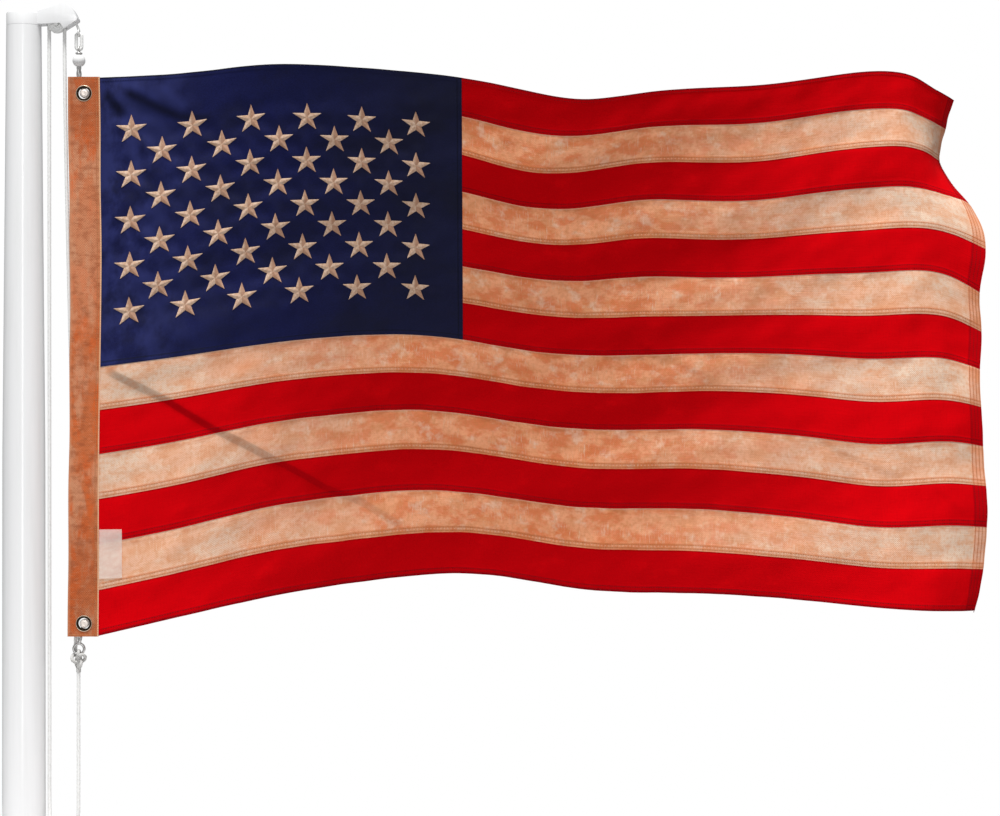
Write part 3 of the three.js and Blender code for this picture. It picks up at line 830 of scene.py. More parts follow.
class Dye:
    """Colour and relief of one cloth, laid on layer by layer over its own u and v coordinates."""

    def __init__(self, title: str, base: str) -> None:
        """Start the material with its plain colour.

        Args:
            title: Name of the material.
            base: Colour under all the layers.
        """
        self.material, self.tree = new_tree(title)
        self.place = add_node(self.tree, "ShaderNodeUVMap", uv_map="Pattern").outputs[0]
        axes = add_node(self.tree, "ShaderNodeSeparateXYZ", {0: self.place})
        self.u, self.v = axes.outputs[0], axes.outputs[1]
        self.colour: Any = linear(base)
        self.normal: Socket | None = None

    def cloud(
        self, size: Pair, low: float, high: float, shift: float = 0.0, detail: float = 4.0
    ) -> Socket:
        """Cloudy patches of a given size.

        Args:
            size: Size of a patch along u and v, in mm.
            low: Noise value where patches start.
            high: Noise value where they are full.
            shift: Moves the pattern, so that no two layers share one.
            detail: Octaves of finer structure.

        Returns:
            A value from 0 to 1.
        """
        scale = (1 / (size[0] * MM), 1 / (size[1] * MM), 1.0)
        where = add_node(self.tree, "ShaderNodeMapping", {"Vector": self.place, "Scale": scale})
        noise = add_node(
            self.tree, "ShaderNodeTexNoise",
            {"Vector": where.outputs[0], "W": shift, "Scale": 1.0, "Detail": detail, "Roughness": 0.62},
            noise_dimensions="4D",
        )
        inputs = {0: noise.outputs[0], 1: low, 2: high}
        patch = add_node(self.tree, "ShaderNodeMapRange", inputs, interpolation_type="SMOOTHSTEP")
        return patch.outputs[0]

    def band(
        self, at: Socket, start: float, end: float, soft: float = 0.6
    ) -> Socket:
        """Value that is 1 between two places and 0 outside.

        Args:
            at: Place in metres.
            start: Start in mm.
            end: End in mm.
            soft: Half the width of each edge in mm.

        Returns:
            A value from 0 to 1.
        """
        edges = []
        for place, outside, inside in ((start, 0.0, 1.0), (end, 1.0, 0.0)):
            inputs = {0: at, 1: (place - soft) * MM, 2: (place + soft) * MM, 3: outside, 4: inside}
            edges.append(add_node(self.tree, "ShaderNodeMapRange", inputs, interpolation_type="SMOOTHSTEP"))
        return self.overlap(*(edge.outputs[0] for edge in edges))

    def overlap(self, *masks: Any) -> Any:
        """Share in which all masks show; one alone comes back as it is."""
        share = masks[0]
        for mask in masks[1:]:
            both = {0: share, 1: mask}
            share = add_node(self.tree, "ShaderNodeMath", both, operation="MULTIPLY").outputs[0]
        return share

    def ripple(self, at: Socket, pitch: float) -> Socket:
        """Even ripple across the cloth.

        Args:
            at: Place in metres.
            pitch: Distance between crests in mm.

        Returns:
            A value from -1 to 1.
        """
        inputs = {0: at, 1: 2 * math.pi / (pitch * MM)}
        turn = add_node(self.tree, "ShaderNodeMath", inputs, operation="MULTIPLY")
        return add_node(self.tree, "ShaderNodeMath", {0: turn.outputs[0]}, operation="SINE").outputs[0]

    def crease(self, fold: Fold, half: float, soft: float = 1.6) -> Socket:
        """Line along a fold, for painted shade or a painted highlight.

        Args:
            fold: The fold.
            half: Half the width of the line in mm.
            soft: Half the width of its soft edges in mm.

        Returns:
            A value that is 1 on the line and 0 away from it.
        """
        du, dv = fold.end[0] - fold.start[0], fold.end[1] - fold.start[1]
        length = math.hypot(du, dv)
        along, across = (du / length, dv / length, 0.0), (dv / length, -du / length, 0.0)
        masks = []
        for way, low, high, edge in ((along, 0.0, length, 9.0), (across, -half, half, soft)):
            start = fold.start[0] * way[0] + fold.start[1] * way[1]
            at = add_node(self.tree, "ShaderNodeVectorMath", {0: self.place, 1: way}, operation="DOT_PRODUCT")
            masks.append(self.band(at.outputs["Value"], start + low, start + high, edge))
        return self.overlap(*masks)

    def lay(self, colour: str, *masks: Any) -> None:
        """Lay a colour over what is there.

        Args:
            colour: The colour.
            *masks: Values from 0 to 1 whose product says how much of it shows.
        """
        inputs = {0: self.overlap(*masks), 6: self.colour, 7: linear(colour)}
        self.colour = add_node(self.tree, "ShaderNodeMix", inputs, data_type="RGBA").outputs[2]

    def raise_by(self, height: Socket, size: float) -> None:
        """Add a relief.

        Args:
            height: Its height, about 0 to 1.
            size: What a height of 1 is in mm.
        """
        inputs = {"Height": height, "Distance": size * MM, "Strength": 1.0}
        if self.normal is not None:
            inputs["Normal"] = self.normal
        self.normal = add_node(self.tree, "ShaderNodeBump", inputs).outputs[0]

    def weave(self, pitch: float, size: float) -> None:
        """Add the relief of threads that pass over and under each other.

        Args:
            pitch: Distance between threads in mm.
            size: Height of the threads in mm.
        """
        warp, weft = self.ripple(self.u, 2 * pitch), self.ripple(self.v, 2 * pitch)
        height = add_node(self.tree, "ShaderNodeMath", {0: warp, 1: weft}, operation="MULTIPLY")
        self.raise_by(height.outputs[0], size)

    def close(self, roughness: float, specular: float, alpha: float = 1.0) -> Material:
        """Finish the material with its shader.

        Args:
            roughness: Spread of its reflections.
            specular: Strength of its reflections.
            alpha: How opaque the cloth is.

        Returns:
            The finished material.
        """
        inputs = {
            "Base Color": self.colour, "Roughness": roughness, "Specular IOR Level": specular, "Alpha": alpha,
        }
        if self.normal is not None:
            inputs["Normal"] = self.normal
        return close_material(self.material, inputs)


@dataclass(frozen=True)
class StripeCotton:
    """What both cottons of the stripes share: seams and hems that wear or stain them, folds that take painted
    shade.

    The threads of real flag cotton lie 0.5 mm apart, too fine to show, and are drawn at 1.7 mm.
    """

    stripe: float = Drape.hoist / Drape.stripes
    seam_band: float = 10
    hem_from: float = 1451
    hem_to: float = 1480
    thread: float = 1.7
    folds: tuple[Fold, ...] = ()

    def down_stripe(self, dye: Dye) -> Socket:
        """Distance down from the top of each stripe, in metres."""
        inputs = {0: dye.v, 1: self.stripe * MM}
        return add_node(dye.tree, "ShaderNodeMath", inputs, operation="FLOORED_MODULO").outputs[0]


@dataclass(frozen=True)
class TeaStainedCotton(StripeCotton):
    """Unbleached plain-woven cotton dipped in tea: cloudy brown stains, darker along seams, painted shade
    along creases.
    """

    title: str = "TeaStainedWovenCotton"
    pale: str = "d8bba4"
    warm: str = "f4a274"
    stain: str = "d86733"
    tan: str = "d08450"
    seam: str = "b2643a"
    fold_shade: str = "7d6656"
    bleach_and_highlight: str = "ecd3bb"
    hem_rows: tuple[float, ...] = (1452.8, 1459, 1465, 1470.8)

    def build(self) -> Material:
        """Make the material.

        Returns:
            The finished material.
        """
        dye = Dye(self.title, self.pale)
        # The middle band: warmer and darker across the middle of the fly, partly tea stain and partly painted
        # shade
        row, middle = self.down_stripe(dye), dye.band(dye.u, 330, 1100, 260)
        dye.lay(self.warm, dye.cloud((150, 90), 0.42, 0.60), 0.42)
        dye.lay(self.warm, middle, 0.85)
        dye.lay(self.tan, dye.cloud((40, 26), 0.46, 0.60, 3.0, 7.0), 0.4)
        dye.lay(self.stain, dye.cloud((46, 30), 0.44, 0.58, 5.0, 7.0), middle, 0.62)
        dye.lay(self.bleach_and_highlight, dye.cloud((34, 30), 0.52, 0.64, 11.0, 7.0), 0.42)
        dye.lay(self.tan, dye.cloud((6, 7), 0.46, 0.62, 9.0, 5.0), 0.35)
        streaks = dye.cloud((2.6, 22), 0.52, 0.72, 13.0, 3.0)
        dye.lay(self.bleach_and_highlight, streaks, dye.cloud((60, 40), 0.42, 0.6, 17.0), 0.6)
        dye.lay(self.seam, dye.band(row, 1, 9, 5), dye.cloud((60, 30), 0.42, 0.58, 21.0), 0.5)
        edge = self.stripe - self.seam_band
        dye.lay(self.seam, dye.band(row, edge - 1.5, self.stripe + 2, 1.8), 0.30)
        dye.lay(self.seam, dye.band(row, edge - 1.0, edge + 1.6, 0.8), 0.45)
        dye.lay(self.seam, dye.band(row, self.stripe - 4.4, self.stripe - 2.2, 0.8), 0.40)
        # Painted highlight on the puckers between the seam's two stitch rows, in the bleached colour
        puckers = add_node(dye.tree, "ShaderNodeMapRange", {0: dye.ripple(dye.u, 6.0), 1: 0.1, 2: 0.8})
        dye.lay(self.bleach_and_highlight, dye.band(row, edge + 2.6, self.stripe - 5.4, 0.7), puckers.outputs[0], 0.32)
        # Painted highlight along each stripe's top edge, at the seam's fold
        dye.lay(self.bleach_and_highlight, dye.band(row, -1, 2.0, 0.8), 0.3)
        dye.lay(self.stain, dye.band(dye.u, self.hem_from, self.hem_to, 1.2), 0.30)
        for at in self.hem_rows:
            dye.lay(self.seam, dye.band(dye.u, at - 1.0, at + 1.0, 0.7), 0.55)
        # Painted shade along each fold, in a grey brown
        for fold in self.folds:
            dye.lay(self.fold_shade, dye.crease(fold, 6.0), min(0.32, fold.height * 0.15))
        dye.weave(self.thread, 0.12)
        dye.raise_by(dye.cloud((30, 2.2), 0.3, 0.7, 25.0, 2.0), 0.15)
        return dye.close(roughness=0.92, specular=0.1)


@dataclass(frozen=True)
class RedDyedCotton(StripeCotton):
    """Plain-woven cotton dyed deep red: nearly matt, a little worn and darker where seams double it."""

    title: str = "RedDyedWovenCotton"
    red: str = "cd0009"
    deep: str = "b40008"
    worn: str = "d6040c"
    seam: str = "75000a"
    drop: float = Drape.hoist

    def build(self) -> Material:
        """Make the material.

        Returns:
            The finished material.
        """
        dye = Dye(self.title, self.red)
        row = self.down_stripe(dye)
        # Painted shade: darker across the middle of the fly
        dye.lay(self.deep, dye.band(dye.u, 170, 1120, 230), 0.85)
        dye.lay(self.deep, dye.cloud((130, 70), 0.40, 0.62), 0.4)
        dye.lay(self.worn, dye.cloud((60, 36), 0.52, 0.70, 5.0), 0.35)
        dye.lay(self.deep, dye.cloud((2.4, 20), 0.45, 0.75, 9.0, 3.0), 0.4)
        edge = self.stripe - self.seam_band
        dye.lay(self.seam, dye.band(row, edge, self.stripe + 2, 0.9), 0.16)
        dye.lay(self.seam, dye.band(row, edge - 0.4, edge + 1.2, 0.8), 0.42)
        dye.lay(self.seam, dye.band(row, self.stripe - 4.2, self.stripe - 2.4, 0.8), 0.42)
        dye.lay(self.seam, dye.band(dye.v, -2, 2.4, 0.8), 0.85)
        dye.lay(self.seam, dye.band(dye.v, self.drop - 2.4, self.drop + 2, 0.8), 0.85)
        dye.lay(self.seam, dye.band(dye.u, self.hem_from, self.hem_to, 1.6), 0.32)
        dye.lay(self.seam, dye.band(dye.u, self.hem_from - 1.4, self.hem_from + 1.4, 1.1), 0.4)
        # Painted shade along each fold, in the seams' dark red
        for fold in self.folds:
            dye.lay(self.seam, dye.crease(fold, 5.0), min(0.4, fold.height * 0.18))
        dye.weave(self.thread, 0.1)
        dye.raise_by(dye.cloud((26, 2.2), 0.3, 0.7, 11.0, 2.0), 0.1)
        return dye.close(roughness=0.95, specular=0.03)


@dataclass(frozen=True)
class NavyOxford:
    """Navy oxford-woven cotton: lighter threads float over dark ones as short staggered bars; a low sheen.

    The bars are 1.0 by 0.7 mm on the real cloth and are drawn twice as large to show.
    """

    title: str = "NavyOxfordWovenCotton"
    navy: str = "0a0e34"
    bar: str = "161c54"
    bar_dim: str = "0f1444"
    dull: str = "11121f"
    painted_sheen: str = "272d62"
    edge: str = "030410"
    bar_size: Pair = (2.1, 1.4)
    bar_gap: float = 0.35
    canton_fly: float = Drape.canton_fly
    canton_drop: float = 492
    seam_band: float = 8
    shaded_troughs: tuple[Fold, ...] = (
        Fold((41, 27), (126, 76)), Fold((6, 27), (36, 64)), Fold((126, 76), (176, 82)),
    )
    lit_ridges: tuple[Fold, ...] = (
        Fold((30, 2), (92, 44)), Fold((98, 20), (134, 62)), Fold((40, 60), (62, 190)),
    )

    def build(self) -> Material:
        """Make the material.

        Returns:
            The finished material.
        """
        dye = Dye(self.title, self.navy)
        bars = add_node(
            dye.tree, "ShaderNodeTexBrick",
            {"Vector": dye.place, "Color1": linear(self.bar), "Color2": linear(self.bar_dim),
             "Mortar": linear(self.navy), "Mortar Size": self.bar_gap * MM, "Mortar Smooth": 0.6,
             "Scale": 1.0, "Brick Width": self.bar_size[0] * MM, "Row Height": self.bar_size[1] * MM},
            offset=0.5,
        )
        dye.colour = bars.outputs[0]
        dye.lay(self.dull, dye.cloud((120, 90), 0.42, 0.66), 0.45)
        # Greyer and darker across the middle: partly dull dye, partly painted shade
        dye.lay(self.dull, dye.band(dye.u, 420, 700, 190), 0.62)
        # Painted sheen on the canton's hoist side
        dye.lay(self.painted_sheen, dye.cloud((70, 110), 0.40, 0.56, 5.0), dye.band(dye.u, -60, 100, 100), 0.8)
        # Painted highlight along the ridges of the canton's folds
        for fold in self.lit_ridges:
            dye.lay(self.painted_sheen, dye.crease(fold, 7.0, 9.0), 0.6)
        # Painted shade in the troughs of the canton's folds, in the edge's near-black
        for fold in self.shaded_troughs:
            dye.lay(self.edge, dye.crease(fold, 6.0, 6.0), 0.6)
        drop, fly, seam = self.canton_drop, self.canton_fly, self.seam_band
        dye.lay(self.edge, dye.band(dye.v, -2, 2.4, 0.8), 0.8)
        dye.lay(self.edge, dye.band(dye.v, drop - seam - 0.8, drop - seam + 1.2, 0.6), 0.6)
        dye.lay(self.edge, dye.band(dye.u, fly - seam - 0.8, fly - seam + 1.2, 0.6), 0.6)
        dye.raise_by(bars.outputs[1], -0.1)
        return dye.close(roughness=0.5, specular=0.1)


@dataclass(frozen=True)
class RussetDuck:
    """Heavy cotton duck soaked russet brown: coarse weave, pale rubbed edges and dark mottling."""

    left: float
    right: float
    title: str = "RussetWovenDuck"
    russet: str = "be683e"
    dark: str = "8f4a2c"
    orange: str = "cc5c26"
    dusty: str = "c8906e"
    rim: str = "e4b894"
    thread: float = 2.0

    def build(self) -> Material:
        """Make the material.

        Returns:
            The finished material.
        """
        dye = Dye(self.title, self.russet)
        dye.lay(self.orange, dye.cloud((24, 70), 0.46, 0.58, 5.0, 6.0), 0.75)
        dye.lay(self.dusty, dye.cloud((34, 90), 0.48, 0.60, 9.0, 6.0), 0.75)
        dye.lay(self.dusty, dye.band(dye.v, 970, 1180, 70), 0.5)
        dye.lay(self.dark, dye.band(dye.v, 1250, 1400, 60), 0.4)
        dye.lay(self.dark, dye.band(dye.v, 380, 620, 70), 0.35)
        dye.lay(self.dark, dye.cloud((22, 12), 0.44, 0.66, 1.0, 6.0), 0.6)
        dye.lay(self.dusty, dye.cloud((12, 2.2), 0.52, 0.70, 13.0, 4.0), 0.45)
        dye.lay(self.dark, dye.cloud((14, 2.6), 0.54, 0.70, 17.0, 4.0), 0.4)
        dye.lay(self.dusty, dye.band(dye.u, self.left - 3, self.left + 3, 3.0), 0.6)
        dye.lay(self.rim, dye.band(dye.u, self.right - 1.9, self.right + 2, 0.7), 0.8)
        dye.lay(self.dark, dye.band(dye.u, self.right - 7.6, self.right - 5.4, 0.8), 0.4)
        dye.weave(self.thread, 0.18)
        return dye.close(roughness=0.92, specular=0.1)


@dataclass(frozen=True)
class SatinStitchThread:
    """Tan rayon thread laid side by side in satin stitch; painted shade shows its shine change with the
    threads' direction.

    The threads lie 0.35 mm apart on the real stars and are drawn at 0.8 mm. Across a star's arms, v counts up
    from the top arm by a fixed step, so that the top and the lower right arm can take their darker shine.
    """

    title: str = "TanSatinStitchThread"
    tan: str = "c09a7e"
    light: str = "d6b9a2"
    shade: str = "916a52"
    russet: str = "a87a5e"
    arm_spacing: float = 40
    thread: float = 0.8

    def build(self) -> Material:
        """Make the material.

        Returns:
            The finished material.
        """
        dye = Dye(self.title, self.tan)
        dye.lay(self.light, dye.cloud((5, 8), 0.38, 0.62))
        lower_right, half = 2 * self.arm_spacing, self.arm_spacing / 2
        # Painted shade: the top and the lower right arm darker, as their threads' direction dims the shine
        dye.lay(self.russet, dye.band(dye.v, -1.5, half, 2.0), 0.85)
        dye.lay(self.russet, dye.band(dye.v, lower_right - half, lower_right + half, 1.0), 0.75)
        # Painted shade in the gaps between the threads
        ribs = dye.ripple(dye.u, self.thread)
        gap = add_node(dye.tree, "ShaderNodeMapRange", {0: ribs, 1: -1.0, 2: 0.0, 3: 0.35, 4: 0.0})
        dye.lay(self.shade, gap.outputs[0])
        dye.raise_by(ribs, 0.08)
        return dye.close(roughness=0.5, specular=0.35)


@dataclass(frozen=True)
class SewingThread:
    """Twisted cotton sewing thread, which takes up the stain of the cloth it holds."""

    title: str
    colour: str
    worn: str

    def build(self) -> Material:
        """Make the material.

        Returns:
            The finished material.
        """
        material, tree = new_tree(self.title)
        place = add_node(tree, "ShaderNodeTexCoord")
        inputs = {"Vector": place.outputs["Object"], "Scale": 45.0, "Detail": 4.0}
        noise = add_node(tree, "ShaderNodeTexNoise", inputs)
        inputs = {0: noise.outputs[0], 6: linear(self.colour), 7: linear(self.worn)}
        colour = add_node(tree, "ShaderNodeMix", inputs, data_type="RGBA")
        bump = add_node(tree, "ShaderNodeBump", {"Height": noise.outputs[0], "Distance": 0.05 * MM})
        return close_material(material, {
            "Base Color": colour.outputs[2], "Roughness": 0.85, "Specular IOR Level": 0.15,
            "Normal": bump.outputs[0],
        })


@dataclass(frozen=True)
class LabelSatin:
    """Thin polyester satin ribbon, cut hot: warm white, half see-through, with a low shine."""

    title: str = "WovenSatinRibbon"
    white: str = "fbeee2"
    pink: str = "f4dcd0"

    def build(self) -> Material:
        """Make the material.

        Returns:
            The finished material.
        """
        dye = Dye(self.title, self.white)
        dye.lay(self.pink, dye.cloud((12, 7), 0.35, 0.65))
        dye.lay(self.pink, dye.cloud((2, 30), 0.4, 0.7, 3.0), 0.5)
        dye.weave(1.2, 0.05)
        return dye.close(roughness=0.42, specular=0.4, alpha=0.4)


@dataclass(frozen=True)
class HardFinish:
    """Hard surface with a little wear.

    The wear's grain is its size across and along Z in mm, its amount the most that the worn colour shows, and
    the relief is the height of the surface's ripple in mm.
    """

    title: str
    colour: str
    worn: str
    roughness: float
    worn_roughness: float
    metallic: float = 0.0
    grain: Pair = (12.0, 12.0)
    amount: float = 0.4
    relief: float = 0.02

    def build(self) -> Material:
        """Make the material.

        Returns:
            The finished material.
        """
        material, tree = new_tree(self.title)
        place = add_node(tree, "ShaderNodeTexCoord")
        across, along = self.grain
        scale = (1 / (across * MM), 1 / (across * MM), 1 / (along * MM))
        where = add_node(tree, "ShaderNodeMapping", {"Vector": place.outputs["Object"], "Scale": scale})
        inputs = {"Vector": where.outputs[0], "Scale": 1.0, "Detail": 5.0, "Roughness": 0.6}
        value = add_node(tree, "ShaderNodeTexNoise", inputs).outputs[0]
        inputs = {0: value, 1: 0.42, 2: 0.75, 4: self.amount}
        worn = add_node(tree, "ShaderNodeMapRange", inputs, interpolation_type="SMOOTHSTEP")
        inputs = {0: worn.outputs[0], 6: linear(self.colour), 7: linear(self.worn)}
        colour = add_node(tree, "ShaderNodeMix", inputs, data_type="RGBA")
        inputs = {0: value, 1: 0.4, 2: 0.7, 3: self.roughness, 4: self.worn_roughness}
        rough = add_node(tree, "ShaderNodeMapRange", inputs)
        bump = add_node(tree, "ShaderNodeBump", {"Height": value, "Distance": self.relief * MM})
        return close_material(material, {
            "Base Color": colour.outputs[2], "Roughness": rough.outputs[0], "Metallic": self.metallic,
            "Normal": bump.outputs[0],
        })


# Powder-coated aluminium: white and even, with the faint ripple of baked powder and rain streaks
WHITE_ENAMEL = HardFinish("PowderCoatedAluminium", "ebebeb", "e2e2e1", 0.13, 0.2, grain=(14, 260), amount=0.5)
# Moulded ABS bead: glossy white, slightly scuffed
WHITE_BEAD = HardFinish("MouldedAbsBead", "dededd", "cbcac6", 0.22, 0.42, grain=(5, 5), amount=0.3)
# Nickel-plated steel: grey mirror dulled by weather
NICKEL = HardFinish("NickelPlatedSteel", "c9c8c6", "86827b", 0.3, 0.5, metallic=1.0, grain=(4, 6), amount=0.7)
# Nickel-plated stud face, rubbed bright by the cloth
BRIGHT_NICKEL = HardFinish("RubbedNickelPlate", "f4e8df", "d8ccc0", 0.42, 0.55, 0.6, grain=(3, 3), amount=0.6)
# The sheave, its pin and the eye under the arm, polished by the rope
POLISHED_NICKEL = HardFinish("PolishedNickelPlate", "e9e9e7", "cfcecb", 0.35, 0.5, 0.6, grain=(4, 6))
# Rolled brass eyelet, gone black in its groove
DARK_BRASS = HardFinish("TarnishedRolledBrass", "33271d", "120d09", 0.35, 0.5, 1.0, grain=(3, 3), amount=0.7)
# Painted highlight on the eyelet's rolled edge: a bright copy of the same brass
HIGHLIGHT_BRASS = HardFinish("HighlightRolledBrass", "e2cdb6", "b59c80", 0.3, 0.45, 1.0, grain=(2, 2), amount=0.5)
# Laid polyester rope: white filaments with a trace of grey dirt between the strands
ROPE = HardFinish(
    "LaidPolyesterRope", "e8e8e6", "c2c1bc", 0.75, 0.9, grain=(2.2, 4), amount=0.5, relief=0.2
)
# The same rope in its knot, greyed by hands and weather, and darker for painted shade in the knot's folds
WEATHERED_SHADED_KNOT_ROPE = HardFinish(
    "WeatheredShadedPolyesterRope", "c2c1be", "8f8e89", 0.75, 0.9, grain=(2.2, 4), amount=0.6, relief=0.2
)


# Cloth pieces


@dataclass
class Stars:
    """Fifty satin-stitched stars: each arm is one column of threads, ridged along its middle, on both faces.

    The heights of an arm's tip, of a star's middle and of its valleys are shares of the ridge's height.
    """

    drape: Drape
    radius: float = 25.2
    waist: float = 0.37
    ridge: float = 2.1
    tip_height: float = 0.45
    middle_height: float = 0.75
    valley_height: float = 0.55
    edge_rise: float = 0.7
    foot: float = -0.3
    back_share: float = 0.4
    root: float = 0.26
    overhang: float = 0.1
    serration: float = 0.22
    roof: float = 1.5
    arm_rows: int = 15
    heart_rows: int = 5
    columns: tuple[float, ...] = (-1, -1, -0.5, 0, 0.5, 1, 1)
    arm_spacing: float = SatinStitchThread.arm_spacing
    shift: float = 7
    crease_angle: float = 16

    def arm(self) -> tuple[Rows, Rows, Rows]:
        """One arm, pointing up from the star's middle, with a steep side down to the cloth.

        Returns:
            Place across and up, height above the cloth, and pattern coordinates.
        """
        waist_up = self.radius * self.waist * math.cos(math.pi / 5)
        waist_out = self.radius * self.waist * math.sin(math.pi / 5)
        outer = np.linspace(self.radius, waist_up, self.arm_rows)
        heart = np.linspace(waist_up, 0, self.heart_rows + 1)[1:]
        up = np.concatenate([outer, heart])
        free, beside = up > waist_up, up > waist_up - 0.1
        narrowing = waist_out * (self.radius - up) / (self.radius - waist_up)
        wide = np.where(free, narrowing, waist_out * up / waist_up)
        beyond = free * (self.overhang + self.serration * (np.arange(len(up)) % 2 == 0))
        share = np.array(self.columns)
        valley = self.ridge * self.valley_height * (1 - up / waist_up)
        edge = np.where(beside, self.edge_rise, self.edge_rise + np.maximum(valley, 0))
        tip, middle = self.tip_height, self.middle_height
        on_arm, in_heart = tip + (1 - tip) * narrowing / waist_out, middle + (1 - middle) * up / waist_up
        top = self.ridge * np.where(free, on_arm, in_heart)
        dome = edge[:, None] + (top - edge)[:, None] * (1 - np.abs(share) ** self.roof)
        dome[-1] = self.ridge * middle
        dome[beside, 0] = dome[beside, -1] = self.foot
        across = (wide + beyond)[:, None] * share
        upward = np.repeat(up[:, None], len(share), axis=1)
        flat = np.stack([across, upward], axis=2).reshape(-1, 2)
        return flat, dome.ravel(), flat[:, ::-1]

    def build(self, thread: Material) -> Object:
        """Make all the stars as one piece.

        Args:
            thread: Their thread.

        Returns:
            The piece.
        """
        flat, height, pattern = self.arm()
        columns = len(self.columns)
        rows = len(flat) // columns
        points, faces, coords, first = [], [], [], 0
        for at_u, at_v in self.drape.stars:
            for side in (1, -1):
                for turn in range(5):
                    angle = turn * 2 * math.pi / 5
                    u = at_u + flat[:, 0] * math.cos(angle) + flat[:, 1] * math.sin(angle)
                    v = at_v + flat[:, 0] * math.sin(angle) - flat[:, 1] * math.cos(angle)
                    level = height if side == 1 else height * self.back_share
                    points.append(self.drape.place(u, v, side * (self.root + level)))
                    faces.append(grid_faces(rows, columns, first, flip=side == -1))
                    coords.append((pattern + (at_u * self.shift, turn * self.arm_spacing)) * MM)
                    first += len(flat)
        corners, surface = np.concatenate(faces), np.concatenate(coords)
        piece = make_piece("stars", np.concatenate(points), corners, thread, surface, self.crease_angle)
        log.info("stars: %d faces", len(corners))
        return piece


@dataclass
class Heading:
    """Canvas strip folded around the hoist ends of the cloth, with stitch rows and holes for the eyelets."""

    left: float = 76
    right: float = 130
    y: float = -8
    half: float = 1.2
    layer: float = 0.6
    z0: float = 440
    z1: float = 1353
    left_edge: tuple = ((440, -3.2), (500, -2.8), (560, -1.8), (700, -1.6), (750, -0.2), (900, 0), (960, 1.2),
                        (1010, 1.2), (1080, 0), (1170, -0.2), (1230, -1.6), (1353, -2.6))
    right_edge: tuple = ((440, -6.6), (500, -6.2), (600, -6), (700, -5.8), (800, -4.8), (900, -3.2),
                         (1010, -1.8), (1100, -1.8), (1170, -3), (1270, -3.2), (1353, -4.6))
    cell: float = 4.0
    ripple: Pair = (0.25, 0.15)
    hole_radius: float = 10.3
    eyelet_x: float = 99.8
    eyelet_z: Pair = (1326, 461.4)

    def outline(self) -> Rows:
        """Section of the folded strip: along its front, round the fold, back and along its inside.

        Returns:
            X and Y of each point around the section.
        """
        bend = self.left + self.half
        outer, fold = np.linspace(self.right, bend, 14), np.linspace(0, math.pi, 7)[1:-1]
        inside = self.half - self.layer
        front = [(x, self.y - self.half) for x in outer]
        round_out = [(bend - self.half * math.sin(a), self.y - self.half * math.cos(a)) for a in fold]
        back = [(x, self.y + self.half) for x in outer[::-1]]
        in_back = [(x, self.y + inside) for x in outer]
        round_in = [(bend - inside * math.sin(a), self.y + inside * math.cos(a)) for a in fold]
        in_front = [(x, self.y - inside) for x in outer[::-1]]
        return np.array(front + round_out + back + in_back + round_in + in_front)

    def wave(self, x: Rows, z: Rows) -> Rows:
        """Ripple of the strip, none at its fold and at its sewn edge.

        Args:
            x: Places across.
            z: Heights.

        Returns:
            Shift along Y in mm.
        """
        wide, fine = self.ripple
        ripple = wide * np.sin(z / 31) + fine * np.sin(z / 11.3 + 1) * np.sin(x / 9)
        outward = smooth_step(self.right - 12, self.right - 4, x)
        return ripple * (smooth_step(self.left, self.left + 12, x) * (1 - outward))

    def lean(self, x: Rows, z: Rows) -> Rows:
        """Shift that gives the strip its uneven edges.

        Args:
            x: Places across.
            z: Heights.

        Returns:
            Shift along X in mm.
        """
        share = np.clip((self.right - x) / (self.right - self.left), 0, 1)
        left, right = (NaturalCurve(*zip(*edge)).at(z) for edge in (self.left_edge, self.right_edge))
        return left * share + right * (1 - share)

    def build(self, duck: Material) -> Object:
        """Make the strip.

        Args:
            duck: Its canvas.

        Returns:
            The piece, standing for its CAD node.
        """
        outline = self.outline()
        levels = np.linspace(self.z0, self.z1, round((self.z1 - self.z0) / self.cell) + 1)
        count = len(outline)
        x = np.broadcast_to(outline[:, 0], (len(levels), count))
        z = np.broadcast_to(levels[:, None], x.shape)
        y = outline[None, :, 1] + self.wave(x, z)
        points = np.stack([x + self.lean(x, z), y, z], axis=2).reshape(-1, 3)
        faces = grid_faces(len(levels), count, closed=True).tolist()
        faces += [list(range(count)), [len(points) - 1 - i for i in range(count)]]
        coords = np.stack([x.ravel(), points[:, 2]], axis=1) * MM
        piece = make_piece("heading_strip", points, faces, duck, coords)
        reach, radius = 30, self.hole_radius
        punch = [(0, -reach), (radius, -reach), (radius, reach), (0, reach)]
        shaped(piece, remove=[lathe(punch, 40, "y", (self.eyelet_x, self.y, z)) for z in self.eyelet_z])
        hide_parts("heading")
        return piece

    def place(self, u: Rows, v: Rows, rise: Rows) -> Rows:
        """Turn places on the strip's front or back into points.

        Args:
            u: Distance across from the sewn edge, negative towards the fold.
            v: Distance down from the strip's top.
            rise: Height above the strip's middle, towards the front.

        Returns:
            One point for each place.
        """
        x, z = self.right + u, self.z1 - v
        return np.stack([x + self.lean(x, z), self.y + self.wave(x, z) - rise, z], axis=1)

    def rows(self) -> list[StitchRow]:
        """Rows of stitches that hold the cloth in the strip.

        Returns:
            The rows, in the strip's own coordinates.
        """
        drop = self.z1 - self.z0
        proud = (self.half + 0.1, -self.half - 0.1)
        sides = [StitchRow(Stitch.DOWN_HOIST, inset, 2, drop - 2, proud) for inset in (-2.6, -6.4)]
        return sides + [StitchRow(Stitch.ALONG_FLY, at, -50, -3, proud) for at in (2.4, drop - 2.4)]


